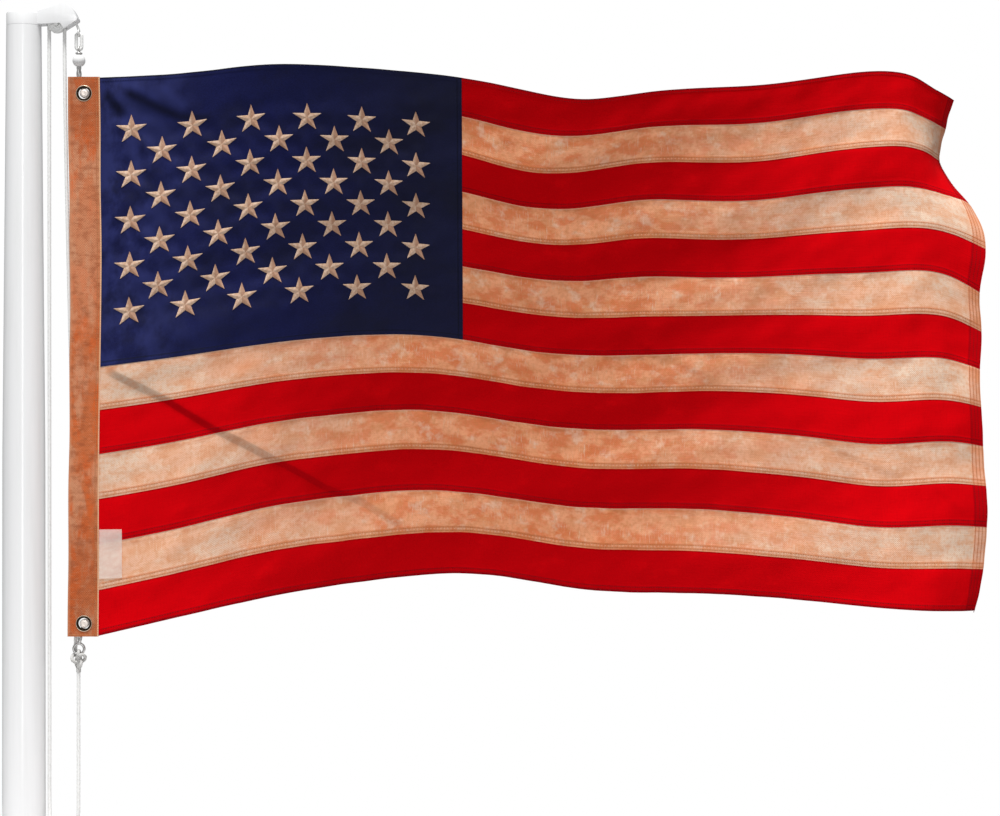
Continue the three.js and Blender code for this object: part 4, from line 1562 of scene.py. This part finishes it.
@dataclass
class Flag:
    """The sewn flag: canton with its stars, thirteen stripes, heading, label and all their sewing."""

    drape: Drape = field(default_factory=Drape)
    heading: Heading = field(default_factory=Heading)
    canton_seam: float = 8
    stripe_seam: float = 10
    hem: float = 22
    tuck: float = 6
    into_heading: float = 10
    seam_rows: Pair = (3.4, 9.0)
    hem_rows: tuple[float, ...] = (2.2, 8.0, 14.0, 20.2)
    canton_stitches: Pair = (2.0, 6.6)
    label_size: Pair = (35.4, 76)
    label_turn: float = 0.17
    label_u: float = -2.4
    label_v: float = 751
    label_lift: float = 1.55
    frayed_end: float = 5.5

    label_thickness: float = 0.24
    label_ripple: float = 0.25

    def panels(self, red: Material, cream: Material, navy: Material) -> None:
        """Make the canton and the stripes.

        Args:
            red: Cloth of the odd stripes.
            cream: Cloth of the even stripes.
            navy: Cloth of the canton.
        """
        drape = self.drape
        drop = drape.canton_rows * drape.stripe
        canton = Panel(
            "canton_cloth", "canton", 0, drape.canton_fly, 0, drop, tuck_left=self.into_heading,
            right_band=self.canton_seam, low_band=self.canton_seam, top_hem=self.canton_seam,
        )
        piece = canton.build(drape, navy)
        for index in range(drape.stripes):
            short = index < drape.canton_rows
            start = drape.canton_fly if short else 0
            panel = Panel(
                f"stripe_cloth_{index + 1:02d}", f"stripe_{index + 1:02d}", start, drape.fly,
                index * drape.stripe, (index + 1) * drape.stripe,
                tuck_left=self.tuck if short else self.into_heading, tuck_top=self.tuck if index else 0,
                fly_hem=self.hem, low_band=self.stripe_seam, top_hem=0 if index else self.canton_seam,
            )
            piece = panel.build(drape, cream if index % 2 else red)

    def seams(self) -> dict[str, list[StitchRow]]:
        """List every row of stitches on the cloth.

        Returns:
            The rows of each colour of thread.
        """
        drape = self.drape
        rows: dict[str, list[StitchRow]] = {"red": [], "cream": [], "navy": []}
        for index in range(drape.stripes):
            colour = "cream" if index % 2 else "red"
            start = drape.canton_fly + 1 if index < drape.canton_rows else 2
            low = (index + 1) * drape.stripe
            along = (start, drape.fly - 1)
            down = (low - drape.stripe + 1, low - self.stripe_seam)
            rows[colour] += [StitchRow(Stitch.ALONG_FLY, low - inset, *along) for inset in self.seam_rows]
            rows[colour] += [StitchRow(Stitch.DOWN_HOIST, drape.fly - at, *down) for at in self.hem_rows]
        drop = drape.canton_rows * drape.stripe
        past = drape.canton_fly - self.canton_seam
        for inset in self.canton_stitches:
            rows["navy"] += [
                StitchRow(Stitch.ALONG_FLY, drop - inset, 2, past),
                StitchRow(Stitch.DOWN_HOIST, drape.canton_fly - inset, 2, drop - self.canton_seam),
                StitchRow(Stitch.ALONG_FLY, inset, 2, past),
            ]
            rows["red"].append(StitchRow(Stitch.ALONG_FLY, inset, drape.canton_fly + 1, drape.fly - 1))
        hoist = drape.stripes * drape.stripe
        rows["red"].append(StitchRow(Stitch.DOWN_HOIST, drape.fly - 1.2, hoist, hoist + self.frayed_end))
        return rows

    def sew(self, threads: dict[str, Material]) -> None:
        """Sew every seam and hem.

        Args:
            threads: Material of the red, cream, navy and heading threads.
        """
        on_cloth, on_heading = Sewing(self.drape.place), Sewing(self.heading.place, pitch=3.6, length=3.0)
        meshes = {colour: on_cloth.mesh(rows) for colour, rows in self.seams().items()}
        meshes["heading"] = on_heading.mesh(self.heading.rows())
        for colour, (points, faces) in meshes.items():
            piece = make_piece(f"seam_stitches_{colour}", points, faces, threads[colour])
            log.info("%s: %d faces", piece.name, len(faces))

    def label(self, satin: Material) -> None:
        """Make the blank satin label, sewn in at the heading's edge.

        Args:
            satin: Its ribbon.
        """
        wide, high = self.label_size
        us = np.linspace(self.label_u, self.label_u + wide, 17)
        vs = np.linspace(self.label_v, self.label_v + high, 41)
        u, v = np.meshgrid(us, vs)
        v = v + self.label_turn * u
        lift = self.label_lift + self.label_ripple * np.sin(v / 9) * smooth_step(0, wide, u)
        piece = self.drape.sheet("label_ribbon", u, v, lift, self.label_thickness, satin)
        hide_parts("label")


@dataclass
class Halyard:
    """Rope from the knot, up behind the heading, over the sheave, round the cleat and back to the knot."""

    radius: float = 3
    lay: float = 19
    strand: Pair = (0.88, 0.14)
    sides: int = 15
    step: float = 2.6
    knot_at: Place = (89.4, 0, 401)
    knot_half: Place = (10.3, 5.4, 13)
    knot_rope: float = 2.7
    knot_lay: float = 15
    knot_step: float = 1.1
    core_radius: float = 3.8
    core_reach: Pair = (-20, 4)
    bight_at: Place = (90, 0, 410.2)
    bight_radius: float = 5.6
    crease_angle: float = 70
    points: tuple = (
        (83.4, 6.4, 405.2), (83.2, 6.8, 430), (83.6, 6.8, 452), (84.4, 5, 520), (83.4, 2, 640),
        (78, 0.6, 840), (72.5, 0.3, 1060), (68.5, 0, 1250), (66.6, 0, 1380), (66.5, 0, 1425), (66.5, 0, 1440),
        (62.84, 0, 1448.84), (54, 0, 1452.5), (45.16, 0, 1448.84), (41.5, 0, 1440), (41.5, 0, 1425),
        (41.5, 0, 1380), (41.6, 0, 1100), (41.8, 0, 700), (42, 0, 300), (42.2, 0, 160), (44.5, -5, 130),
        (49, -10.4, 108), (51, -10.8, 84), (51, -9.6, 73), (51, 0, 69.6), (51.6, 9.6, 73), (54, 11, 84),
        (64, 11.2, 101), (80, 7, 122), (88, 1.2, 146), (89.2, 0, 175), (89.3, 0, 250), (89.3, 0, 330),
        (89.4, 0, 380.7),
    )

    def strands(self, angles: Rows, run: Rows) -> Rows:
        """Radius of the laid rope: three strands that turn along it.

        Args:
            angles: Angles around the section.
            run: Distance along the rope.

        Returns:
            Radius at each angle.
        """
        low, rise = self.strand
        return self.radius * (low + rise * np.abs(np.cos(1.5 * (angles - 2 * math.pi * run / self.lay))))

    def build(self, rope: Material, knot: Object) -> Object:
        """Make the rope.

        Args:
            rope: Its finish.
            knot: The knot at its ends; not used.

        Returns:
            The piece.
        """
        path = route(self.points, self.step)
        points, faces, coords = sweep(path, self.strands, self.sides)
        piece = make_piece("halyard_rope", points, faces, rope, coords, self.crease_angle)
        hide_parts("halyard")
        return piece

    def knot(self, rope: Material) -> Object:
        """Make the knot: a heart of three crossing turns around a bight through the snap's bow.

        Args:
            rope: Its finish.

        Returns:
            The piece, standing for its CAD node.
        """
        turn = np.linspace(0, 2 * math.pi, 120, endpoint=False)
        bight = ring_line(self.bight_radius, self.bight_at, "x", 40)
        trefoil = np.stack([
            (np.sin(turn) + 2 * np.sin(2 * turn)) / 2.76, np.sin(3 * turn),
            (np.cos(turn) - 2 * np.cos(2 * turn)) / 3,
        ], axis=1)
        turns = np.asarray(self.knot_at) + np.asarray(self.knot_half) * trefoil
        x, y, z = self.knot_at
        low, high = self.core_reach
        core = np.linspace((x, y, z + low), (x, y, z + high), 8)
        laid = Halyard(radius=self.knot_rope, lay=self.knot_lay)
        shape = merged(
            sweep(bight, laid.strands, self.sides, closed=True),
            sweep(spaced(turns, self.knot_step, closed=True), laid.strands, self.sides, closed=True),
            sweep(core, self.core_radius, 12),
        )
        piece = make_piece("halyard_knot_turns", *shape, rope, crease_angle=self.crease_angle)
        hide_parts("halyard_knot")
        return piece


# Hardware and its outlines


def bezier(count: int, *corners: Pair) -> list[Pair]:
    """Points on a Bezier curve, without its start.

    Args:
        count: Number of steps.
        *corners: Start, handles and end.

    Returns:
        The points after the start.
    """
    t = np.linspace(0, 1, count + 1)[1:, None]
    line = [np.asarray(corner, float) for corner in corners]
    while len(line) > 1:
        line = [(1 - t) * a + t * b for a, b in zip(line, line[1:])]
    return [tuple(point) for point in line[0]]


def slab(outline: Sequence[Pair], half: float) -> tuple[Rows, list]:
    """Give a flat outline in X and Z a thickness along Y.

    Args:
        outline: X and Z of each corner, in order.
        half: Half of the thickness.

    Returns:
        Points and faces.
    """
    count = len(outline)
    points = np.array([(x, side, z) for side in (-half, half) for x, z in outline])
    faces = [list(range(count)), list(range(2 * count - 1, count - 1, -1))]
    faces += [[i, i + count, (i + 1) % count + count, (i + 1) % count] for i in range(count)]
    return points, faces


def ring_line(radius: float, place: Sequence[float], axis: str, count: int = 48) -> Rows:
    """Points around a circle.

    Args:
        radius: Radius of the circle.
        place: Its middle.
        axis: "x" or "y", the axis that it turns around.
        count: Number of points.

    Returns:
        The points.
    """
    turn = np.linspace(0, 2 * math.pi, count, endpoint=False)
    flat, level, up = radius * np.cos(turn), np.zeros(count), radius * np.sin(turn)
    line = [level, flat, up] if axis == "x" else [flat, level, up]
    return np.stack(line, axis=1) + np.asarray(place, float)


def drum(radius: float, half: float, rounding: float = 0.0) -> list[Pair]:
    """Profile of a solid disc or rod.

    Args:
        radius: Its radius.
        half: Half of its length.
        rounding: Size of its chamfered edges.

    Returns:
        Radius and height of each corner.
    """
    if not rounding:
        return [(0, -half), (radius, -half), (radius, half), (0, half)]
    inner, short = radius - rounding, half - rounding
    return [(0, -half), (inner, -half), (radius, -short), (radius, short), (inner, half), (0, half)]


@dataclass
class Pole:
    """Round pole with an almost straight lower half and a tapered upper half, closed at both ends."""

    foot: float = 35
    butt: float = 34.4
    butt_z: float = 740
    top: float = 28.2
    height: float = 1436.7
    edge: float = 1.2

    def radius(self, z: float) -> float:
        """Radius of the pole at a height."""
        return float(np.interp(z, (0, self.butt_z, self.height), (self.foot, self.butt, self.top)))

    def build(self, enamel: Material) -> None:
        """Make the pole.

        Args:
            enamel: Its finish.
        """
        side = [(self.radius(z), z) for z in np.linspace(self.edge, self.height, 60)]
        profile = [(0, 0), (self.foot - self.edge, 0), *side, (0, self.height)]
        piece = make_piece("pole_tube", *lathe(profile, 128), enamel, crease_angle=40)
        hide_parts("pole")


@dataclass
class Truck:
    """Cast truck: a cap on the pole, a hooded arm with a sheave in its slot, and an eye under the arm.

    The pin's bore ends inside the arm, because its faces show no pin.
    """

    pole: Pole
    cap_top: float = 1460
    gap: float = 0.3
    crown: tuple = ((0, 4), (0.5, 2.4), (1.7, 1.1), (5, 0.1))
    arm_half: float = 14
    sheave_at: Place = (54, 0, 1440)
    sheave_rim: float = 14.2
    sheave_half: float = 5.2
    dish: float = 0.8
    slot_room: float = 16.8
    slot_half: float = 6.2
    groove: float = 8.9
    hub: float = 7
    pin: float = 3.7
    bore: float = 4.0
    bore_half: float = 12.8
    rounding: float = 1.1
    ring_at: Place = (90, 0, 1425.7)
    ring_radius: float = 5
    ring_wire: float = 1.5
    shank: float = 2.0
    shank_line: tuple = ((90, 0, 1430.6), (88, 0, 1435.5), (85, 0, 1441.3))

    def hood(self) -> list[Pair]:
        """Outline of the hooded arm in X and Z: a flat underside, a beak at its end and a round back.

        Returns:
            The corners in order.
        """
        top, beak, ridge = self.cap_top, (87.4, 1452), (59, 1473.4)
        line = [(10, 1438), (62, 1440.6), (67, 1431.5), (88.5, 1445), (89.3, 1446.8), (89.3, 1449), beak]
        line += bezier(14, beak, (82, 1468), (70, 1473.4), ridge)
        line += bezier(14, ridge, (46, 1473.4), (40, 1463), (24, top - 0.6))
        return line + [(10, top - 0.8)]

    def casting(self, enamel: Material) -> None:
        """Make the casting.

        Args:
            enamel: Its finish.
        """
        low, top, wide = self.pole.height + self.gap, self.cap_top, self.pole.top
        crown = [(wide - inset, top - drop) for inset, drop in self.crown]
        cap = lathe([(0, low), (wide, low), *crown, (0, top)], 96)
        x, _, z = self.sheave_at
        room = self.slot_room
        slot = slab([(x - room, z - 40), (x + room, z - 40), (x + room, z), (x - room, z)], self.slot_half)
        vault = lathe(drum(room, self.slot_half), 48, "y", self.sheave_at)
        bore = lathe(drum(self.bore, self.bore_half), 32, "y", self.sheave_at)
        piece = make_piece("truck_casting", *slab(self.hood(), self.arm_half), enamel, crease_angle=30)
        shaped(piece, remove=[slot, vault, bore], rounding=self.rounding)
        shaped(piece, add=[cap])
        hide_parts("truck")

    def sheave(self, nickel: Material) -> None:
        """Make the grooved sheave and its pin.

        Args:
            nickel: Their finish.
        """
        half, rim, bore, hub = self.sheave_half, self.sheave_rim, self.bore, self.hub
        near = [(bore, -half), (hub, -half), (hub + 0.4, self.dish - half), (rim - 2.6, self.dish - half)]
        near += [(rim - 2.2, -half), (rim - 0.4, -half), (rim, 0.4 - half)]
        arc = np.linspace(-1.35, 1.35, 11)
        groove = [(self.groove + 4.6 * (1 - math.cos(a)), 3.6 * math.sin(a)) for a in arc]
        wheel = near + groove + [(radius, -y) for radius, y in reversed(near)] + [near[0]]
        piece = make_piece("sheave_wheel", *lathe(wheel, 64, "y", self.sheave_at), nickel, crease_angle=35)
        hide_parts("sheave")
        axle = lathe(drum(self.pin, self.bore_half - 0.2, 0.5), 40, "y", self.sheave_at)
        piece = make_piece("sheave_axle", *axle, nickel, crease_angle=35)
        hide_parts("sheave_pin")

    def eye(self, nickel: Material) -> None:
        """Make the eye under the arm.

        Args:
            nickel: Its finish.
        """
        shape = merged(
            sweep(ring_line(self.ring_radius, self.ring_at, "x"), self.ring_wire, 16, closed=True),
            sweep(route(self.shank_line, 0.8), self.shank, 16),
        )
        piece = make_piece("truck_eye_bolt", *shape, nickel)
        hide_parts("truck_eye")


@dataclass
class Snaps:
    """The two snaps that hold the flag by its eyelets, and the bead and rope loop above the upper one."""

    x: float = 90
    eyelet_x: float = Heading.eyelet_x
    eyelet_z: Pair = Heading.eyelet_z
    loop_z: float = 1411.75
    loop_bend: float = 4.4
    loop_half: float = 13.25
    loop_rope: float = 2.8
    loop_lay: float = 14
    loop_step: float = 1.2
    ring_z: float = 1398.4
    ring_radius: float = 4.4
    ring_wire: float = 1.5
    shank: float = 2.2
    collar_z: float = 1392.5
    collar_radius: float = 5.6
    collar_half: float = 1.2
    bead_z: float = 1380.6
    bead_radius: float = 10.4
    bead_bore: float = 2.5
    bow_z: float = 419
    bow_radius: float = 8.6
    bow_wire: float = 2.2
    necks: Pair = (4.2, 3.8)
    neck_turn: float = 4.2
    stud_profile: tuple = ((0, -6.6), (2.6, -6.6), (3.4, -6.9), (4.4, -6.5), (5.6, -6.3), (6.6, -5.8),
                           (7.2, -5.0), (7.2, 5.2), (6.6, 6.4), (0, 6.8))
    stud_shift: float = 0.4
    stud_y: float = -3.2
    upper_neck: tuple = ((90, 0, 1369.9), (90, 0, 1362), (91, 0, 1350), (96.8, 0.5, 1336), (99.8, 0.8, 1326))
    lower_neck: tuple = ((99.8, 0.8, 461.4), (96.3, 0.5, 451), (92.4, 0, 442), (91, 0, 432), (90, 0, 427.6))

    def loop(self, rope: Material) -> None:
        """Make the short endless rope loop that the upper snap hangs from.

        Args:
            rope: Its finish.
        """
        count = 64
        turn = np.linspace(0, 2 * math.pi, count, endpoint=False)
        z = self.loop_bend * np.sin(turn)
        z = z + np.sign(z) * (self.loop_half - self.loop_bend) * (np.abs(z) > 1e-6)
        path = np.stack([self.x + self.loop_bend * np.cos(turn), np.zeros(count), self.loop_z + z], axis=1)
        laid = Halyard(radius=self.loop_rope, lay=self.loop_lay)
        line = spaced(path, self.loop_step, closed=True)
        points, faces, coords = sweep(line, laid.strands, laid.sides, closed=True)
        piece = make_piece("top_rope_loop", points, faces, rope, coords, laid.crease_angle)
        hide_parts("top_loop")

    def neck(self, points: Sequence, radius: float) -> tuple:
        """Twist a bar from a snap's ring to its stud.

        Args:
            points: Points of its centre line.
            radius: Its greatest radius.

        Returns:
            Points, faces and pattern coordinates.
        """
        def twist(angles: Rows, run: Rows) -> Rows:
            """Radius of two strands wound around each other."""
            return radius * (0.72 + 0.30 * np.abs(np.cos(angles - run / self.neck_turn)))

        return sweep(route(points, 0.9), twist, 24)

    def stud(self, z: float, shine: Material, name: str) -> None:
        """Make the round-headed stud that fills an eyelet.

        Args:
            z: Height of its middle.
            shine: Its finish.
            name: Name of the piece.
        """
        place = (self.eyelet_x, self.stud_y, z)
        piece = make_piece(name, *lathe(self.stud_profile, 48, "y", place), shine, crease_angle=40)

    def upper(self, nickel: Material, bead: Material) -> None:
        """Make the upper snap with its swivel ring, collar, bead and neck.

        Args:
            nickel: Finish of the metal.
            bead: Finish of the bead.
        """
        low, high = self.upper_neck[0][2] - 1, self.ring_z - 3.4
        ring = ring_line(self.ring_radius, (self.x, 0, self.ring_z), "x")
        shape = merged(
            sweep(ring, self.ring_wire, 16, closed=True),
            lathe(drum(self.shank, (high - low) / 2), 24, place=(self.x, 0, (low + high) / 2)),
            lathe(drum(self.collar_radius, self.collar_half, 0.5), 40, place=(self.x, 0, self.collar_z)),
            self.neck(self.upper_neck, self.necks[0]),
        )
        piece = make_piece("upper_snap", *shape, nickel, crease_angle=45)
        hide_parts("clip_top")
        radius, open_from = self.bead_radius, math.asin(self.bead_bore / self.bead_radius)
        turn = np.linspace(open_from, math.pi - open_from, 33)
        arc = [(radius * math.sin(a), -radius * math.cos(a)) for a in turn]
        sphere = lathe([*arc, arc[0]], 64, place=(self.x, 0, self.bead_z))
        piece = make_piece("snap_bead", *sphere, bead, crease_angle=40)
        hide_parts("clip_ball")

    def lower(self, nickel: Material) -> None:
        """Make the lower snap with its neck and bow.

        Args:
            nickel: Its finish.
        """
        ring = ring_line(self.bow_radius, (self.x, 0, self.bow_z), "y", 56)
        bow = sweep(ring, self.bow_wire, 16, closed=True)
        shape = merged(bow, self.neck(self.lower_neck, self.necks[1]))
        piece = make_piece("lower_snap", *shape, nickel, crease_angle=45)
        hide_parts("clip_low")


@dataclass
class Eyelets:
    """The two rolled eyelets: a dark rolled ring with a painted-highlight rim on both faces."""

    x: float = Heading.eyelet_x
    y: float = Heading.y
    heights: Pair = Heading.eyelet_z
    bore: float = 9.0
    barrel: float = 10.0
    roll: float = 12.2
    canvas_half: float = 1.5
    lip: float = 2.6
    rim: float = 13.3

    def build(self, dark: Material, bright: Material) -> None:
        """Make the rings and their rims.

        Args:
            dark: Finish of the rolled ring.
            bright: Finish of the rim, a painted highlight.
        """
        inside, lip, bore, roll, rim = self.canvas_half, self.lip, self.bore, self.roll, self.rim
        front = [(bore, -inside), (bore + 0.2, -2.2), (bore + 0.9, -lip), (bore + 1.9, -lip)]
        front += [(roll - 0.4, -2.3), (roll, -1.9), (roll, -inside), (self.barrel, -inside)]
        ring = front + [(radius, -y) for radius, y in reversed(front)] + [front[0]]
        edge = [(roll + 0.05, 1.5), (roll + 0.1, 1.95), (roll + 0.55, 2.1), (rim - 0.1, 1.9), (rim, 1.5)]
        for z, node in zip(self.heights, ("eyelet_top", "eyelet_low")):
            place = (self.x, self.y, z)
            piece = make_piece(f"{node}_ring", *lathe(ring, 64, "y", place), dark, crease_angle=40)
            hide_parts(node)
            # Rims in the bright painted-highlight brass, on both faces
            for side, name in ((-1, "front"), (1, "back")):
                profile = [(radius, side * y) for radius, y in [*edge, edge[0]]]
                shape = lathe(profile[::-side], 64, "y", place)
                piece = make_piece(f"{node}_rim_{name}", *shape, bright, crease_angle=40)


@dataclass
class Cleat:
    """Horn cleat on the pole's side: a long foot, a waist and two horns."""

    pole: Pole
    z: float = 85
    half: float = 6.7
    foot_half: float = 28
    gap: float = 0.3
    rounding: float = 2.4

    def outline(self) -> list[Pair]:
        """Outline in X and Z.

        Returns:
            The corners in order.
        """
        foot, z = self.pole.radius(self.z - self.foot_half) + self.gap, self.z
        lower = [(0, -28), (4.5, -26), *bezier(8, (4.5, -26), (7, -12), (14, -9.5)), (23, -9.5)]
        lower += bezier(8, (23, -9.5), (24, -30), (28, -54)) + bezier(8, (28, -54), (31, -57), (33, -53))
        lower += bezier(8, (33, -53), (35, -20), (35, 0))
        upper = bezier(8, (35, 0), (35, 20), (33, 50)) + bezier(8, (33, 50), (31, 53), (28, 51))
        upper += bezier(8, (28, 51), (24, 30), (23, 9.5)) + [(14, 9.5)]
        upper += bezier(8, (14, 9.5), (7, 12), (4.5, 26)) + [(0, 28)]
        return [(foot + x, z + up) for x, up in lower + upper]

    def build(self, enamel: Material) -> None:
        """Make the cleat.

        Args:
            enamel: Its finish.
        """
        piece = make_piece("horn_cleat", *slab(self.outline(), self.half), enamel, crease_angle=30)
        shaped(piece, rounding=self.rounding, steps=4)
        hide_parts("cleat")


# Studio


@dataclass
class Studio:
    """Pale floor, soft light and the camera at the photograph's viewing angle."""

    eye: Place = (0.7784, -3.6, 0.8128)
    seen_width: float = 1.635
    sensor: float = 36.0
    key_place: Place = (0.2, -2.75, 9.46)
    key_target: Place = (0.8, 0.0, 0.9)
    key_size: float = 2.6
    key_power: float = 1190.0
    strip_place: Place = (0.3, -3.6, 0.9)
    strip_target: Place = (0.0, 0.0, 0.9)
    strip_size: Pair = (0.45, 2.4)
    strip_power: float = 20.0
    fill: float = 0.4
    floor_x: Pair = (-0.6, 2.2)
    floor_y: Pair = (-0.7, 0.75)

    def camera(self) -> None:
        """Place the camera level, looking along +Y."""
        data = bpy.data.cameras.new("camera")
        data.sensor_width = self.sensor
        data.sensor_fit = "HORIZONTAL"
        data.lens = self.sensor * -self.eye[1] / self.seen_width
        data.clip_end = 100
        camera = add_object("camera", data)
        camera.location = self.eye
        camera.rotation_euler = (math.pi / 2, 0, 0)
        bpy.context.scene.camera = camera

    def light(self) -> None:
        """Hang a soft key light high in front, stand a strip light before the pole and fill the room."""
        world = bpy.data.worlds.new("studio")
        world.use_nodes = True
        tree = world.node_tree
        tree.nodes.clear()
        seen = add_node(tree, "ShaderNodeLightPath")
        white = add_node(tree, "ShaderNodeBackground", {0: (1.0, 1.0, 1.0, 1.0), 1: 1.0})
        fill = add_node(tree, "ShaderNodeBackground", {0: (0.97, 0.98, 1.0, 1.0), 1: self.fill})
        inputs = {0: seen.outputs["Is Camera Ray"], 1: fill.outputs[0], 2: white.outputs[0]}
        both = add_node(tree, "ShaderNodeMixShader", inputs)
        add_node(tree, "ShaderNodeOutputWorld", {0: both.outputs[0]})
        bpy.context.scene.world = world
        bpy.context.scene.view_settings.view_transform = "Standard"
        for name, place, target, size, power in (
            ("key", self.key_place, self.key_target, (self.key_size, self.key_size), self.key_power),
            ("strip", self.strip_place, self.strip_target, self.strip_size, self.strip_power),
        ):
            data = bpy.data.lights.new(name, "AREA")
            data.shape = "DISK" if size[0] == size[1] else "RECTANGLE"
            data.size, data.size_y = size
            data.energy = power
            lamp = add_object(name, data)
            lamp.location = place
            lamp.rotation_euler = aimed(place, target)

    def floor(self) -> None:
        """Lay a pale paper floor, which ends before it would show behind the flag."""
        material, _ = new_tree("PaperFloor")
        inputs = {"Base Color": linear("dedede"), "Roughness": 0.9, "Specular IOR Level": 0.1}
        (x0, x1), (y0, y1) = self.floor_x, self.floor_y
        mesh = bpy.data.meshes.new("floor")
        mesh.from_pydata([(x0, y0, 0), (x1, y0, 0), (x1, y1, 0), (x0, y1, 0)], [], [(0, 1, 2, 3)])
        mesh.materials.append(close_material(material, inputs))
        add_object("floor", mesh)


def aimed(place: Sequence[float], target: Sequence[float]) -> Place:
    """Turn of a lamp that shines from one point at another.

    Args:
        place: Where the lamp hangs.
        target: What it shines at.

    Returns:
        Euler angles.
    """
    aim = np.asarray(target, float) - np.asarray(place, float)
    return (math.atan2(math.hypot(aim[0], aim[1]), -aim[2]), 0.0, -math.atan2(aim[0], aim[1]))


def main() -> None:
    """Build the studio and the part, and log the faces of the cloth pieces."""
    logging.basicConfig(level=logging.INFO, format="%(name)s: %(message)s")
    studio = Studio()
    studio.camera()
    rope = ROPE.build()
    halyard = Halyard()
    halyard.build(rope, halyard.knot(WEATHERED_SHADED_KNOT_ROPE.build()))
    studio.light()
    studio.floor()

    enamel, nickel = WHITE_ENAMEL.build(), NICKEL.build()
    bright, polished = BRIGHT_NICKEL.build(), POLISHED_NICKEL.build()
    pole = Pole()
    pole.build(enamel)
    truck = Truck(pole)
    truck.casting(enamel)
    truck.sheave(polished)
    truck.eye(polished)
    Cleat(pole).build(enamel)
    snaps = Snaps()
    snaps.loop(rope)
    snaps.upper(nickel, WHITE_BEAD.build())
    snaps.lower(nickel)
    snaps.stud(snaps.eyelet_z[0] + snaps.stud_shift, bright, "upper_stud")
    snaps.stud(snaps.eyelet_z[1] - snaps.stud_shift, bright, "lower_stud")
    Eyelets().build(DARK_BRASS.build(), HIGHLIGHT_BRASS.build())

    flag = Flag()
    folds = flag.drape.long_fold
    heading = flag.heading
    heading.build(RussetDuck(heading.left, heading.right).build())
    red, cream = RedDyedCotton(folds=folds).build(), TeaStainedCotton(folds=folds).build()
    flag.panels(red, cream, NavyOxford().build())
    Stars(flag.drape).build(SatinStitchThread().build())
    flag.label(LabelSatin().build())
    flag.sew({
        "red": SewingThread("RedSewingThread", "5a0408", "7a0a0e").build(),
        "cream": SewingThread("TanSewingThread", "9a5c32", "b87a4a").build(),
        "navy": SewingThread("NavySewingThread", "0a0c26", "14183a").build(),
        "heading": SewingThread("RussetSewingThread", "d09a6c", "b06a3c").build(),
    })


if __name__ == "__main__":
    main()
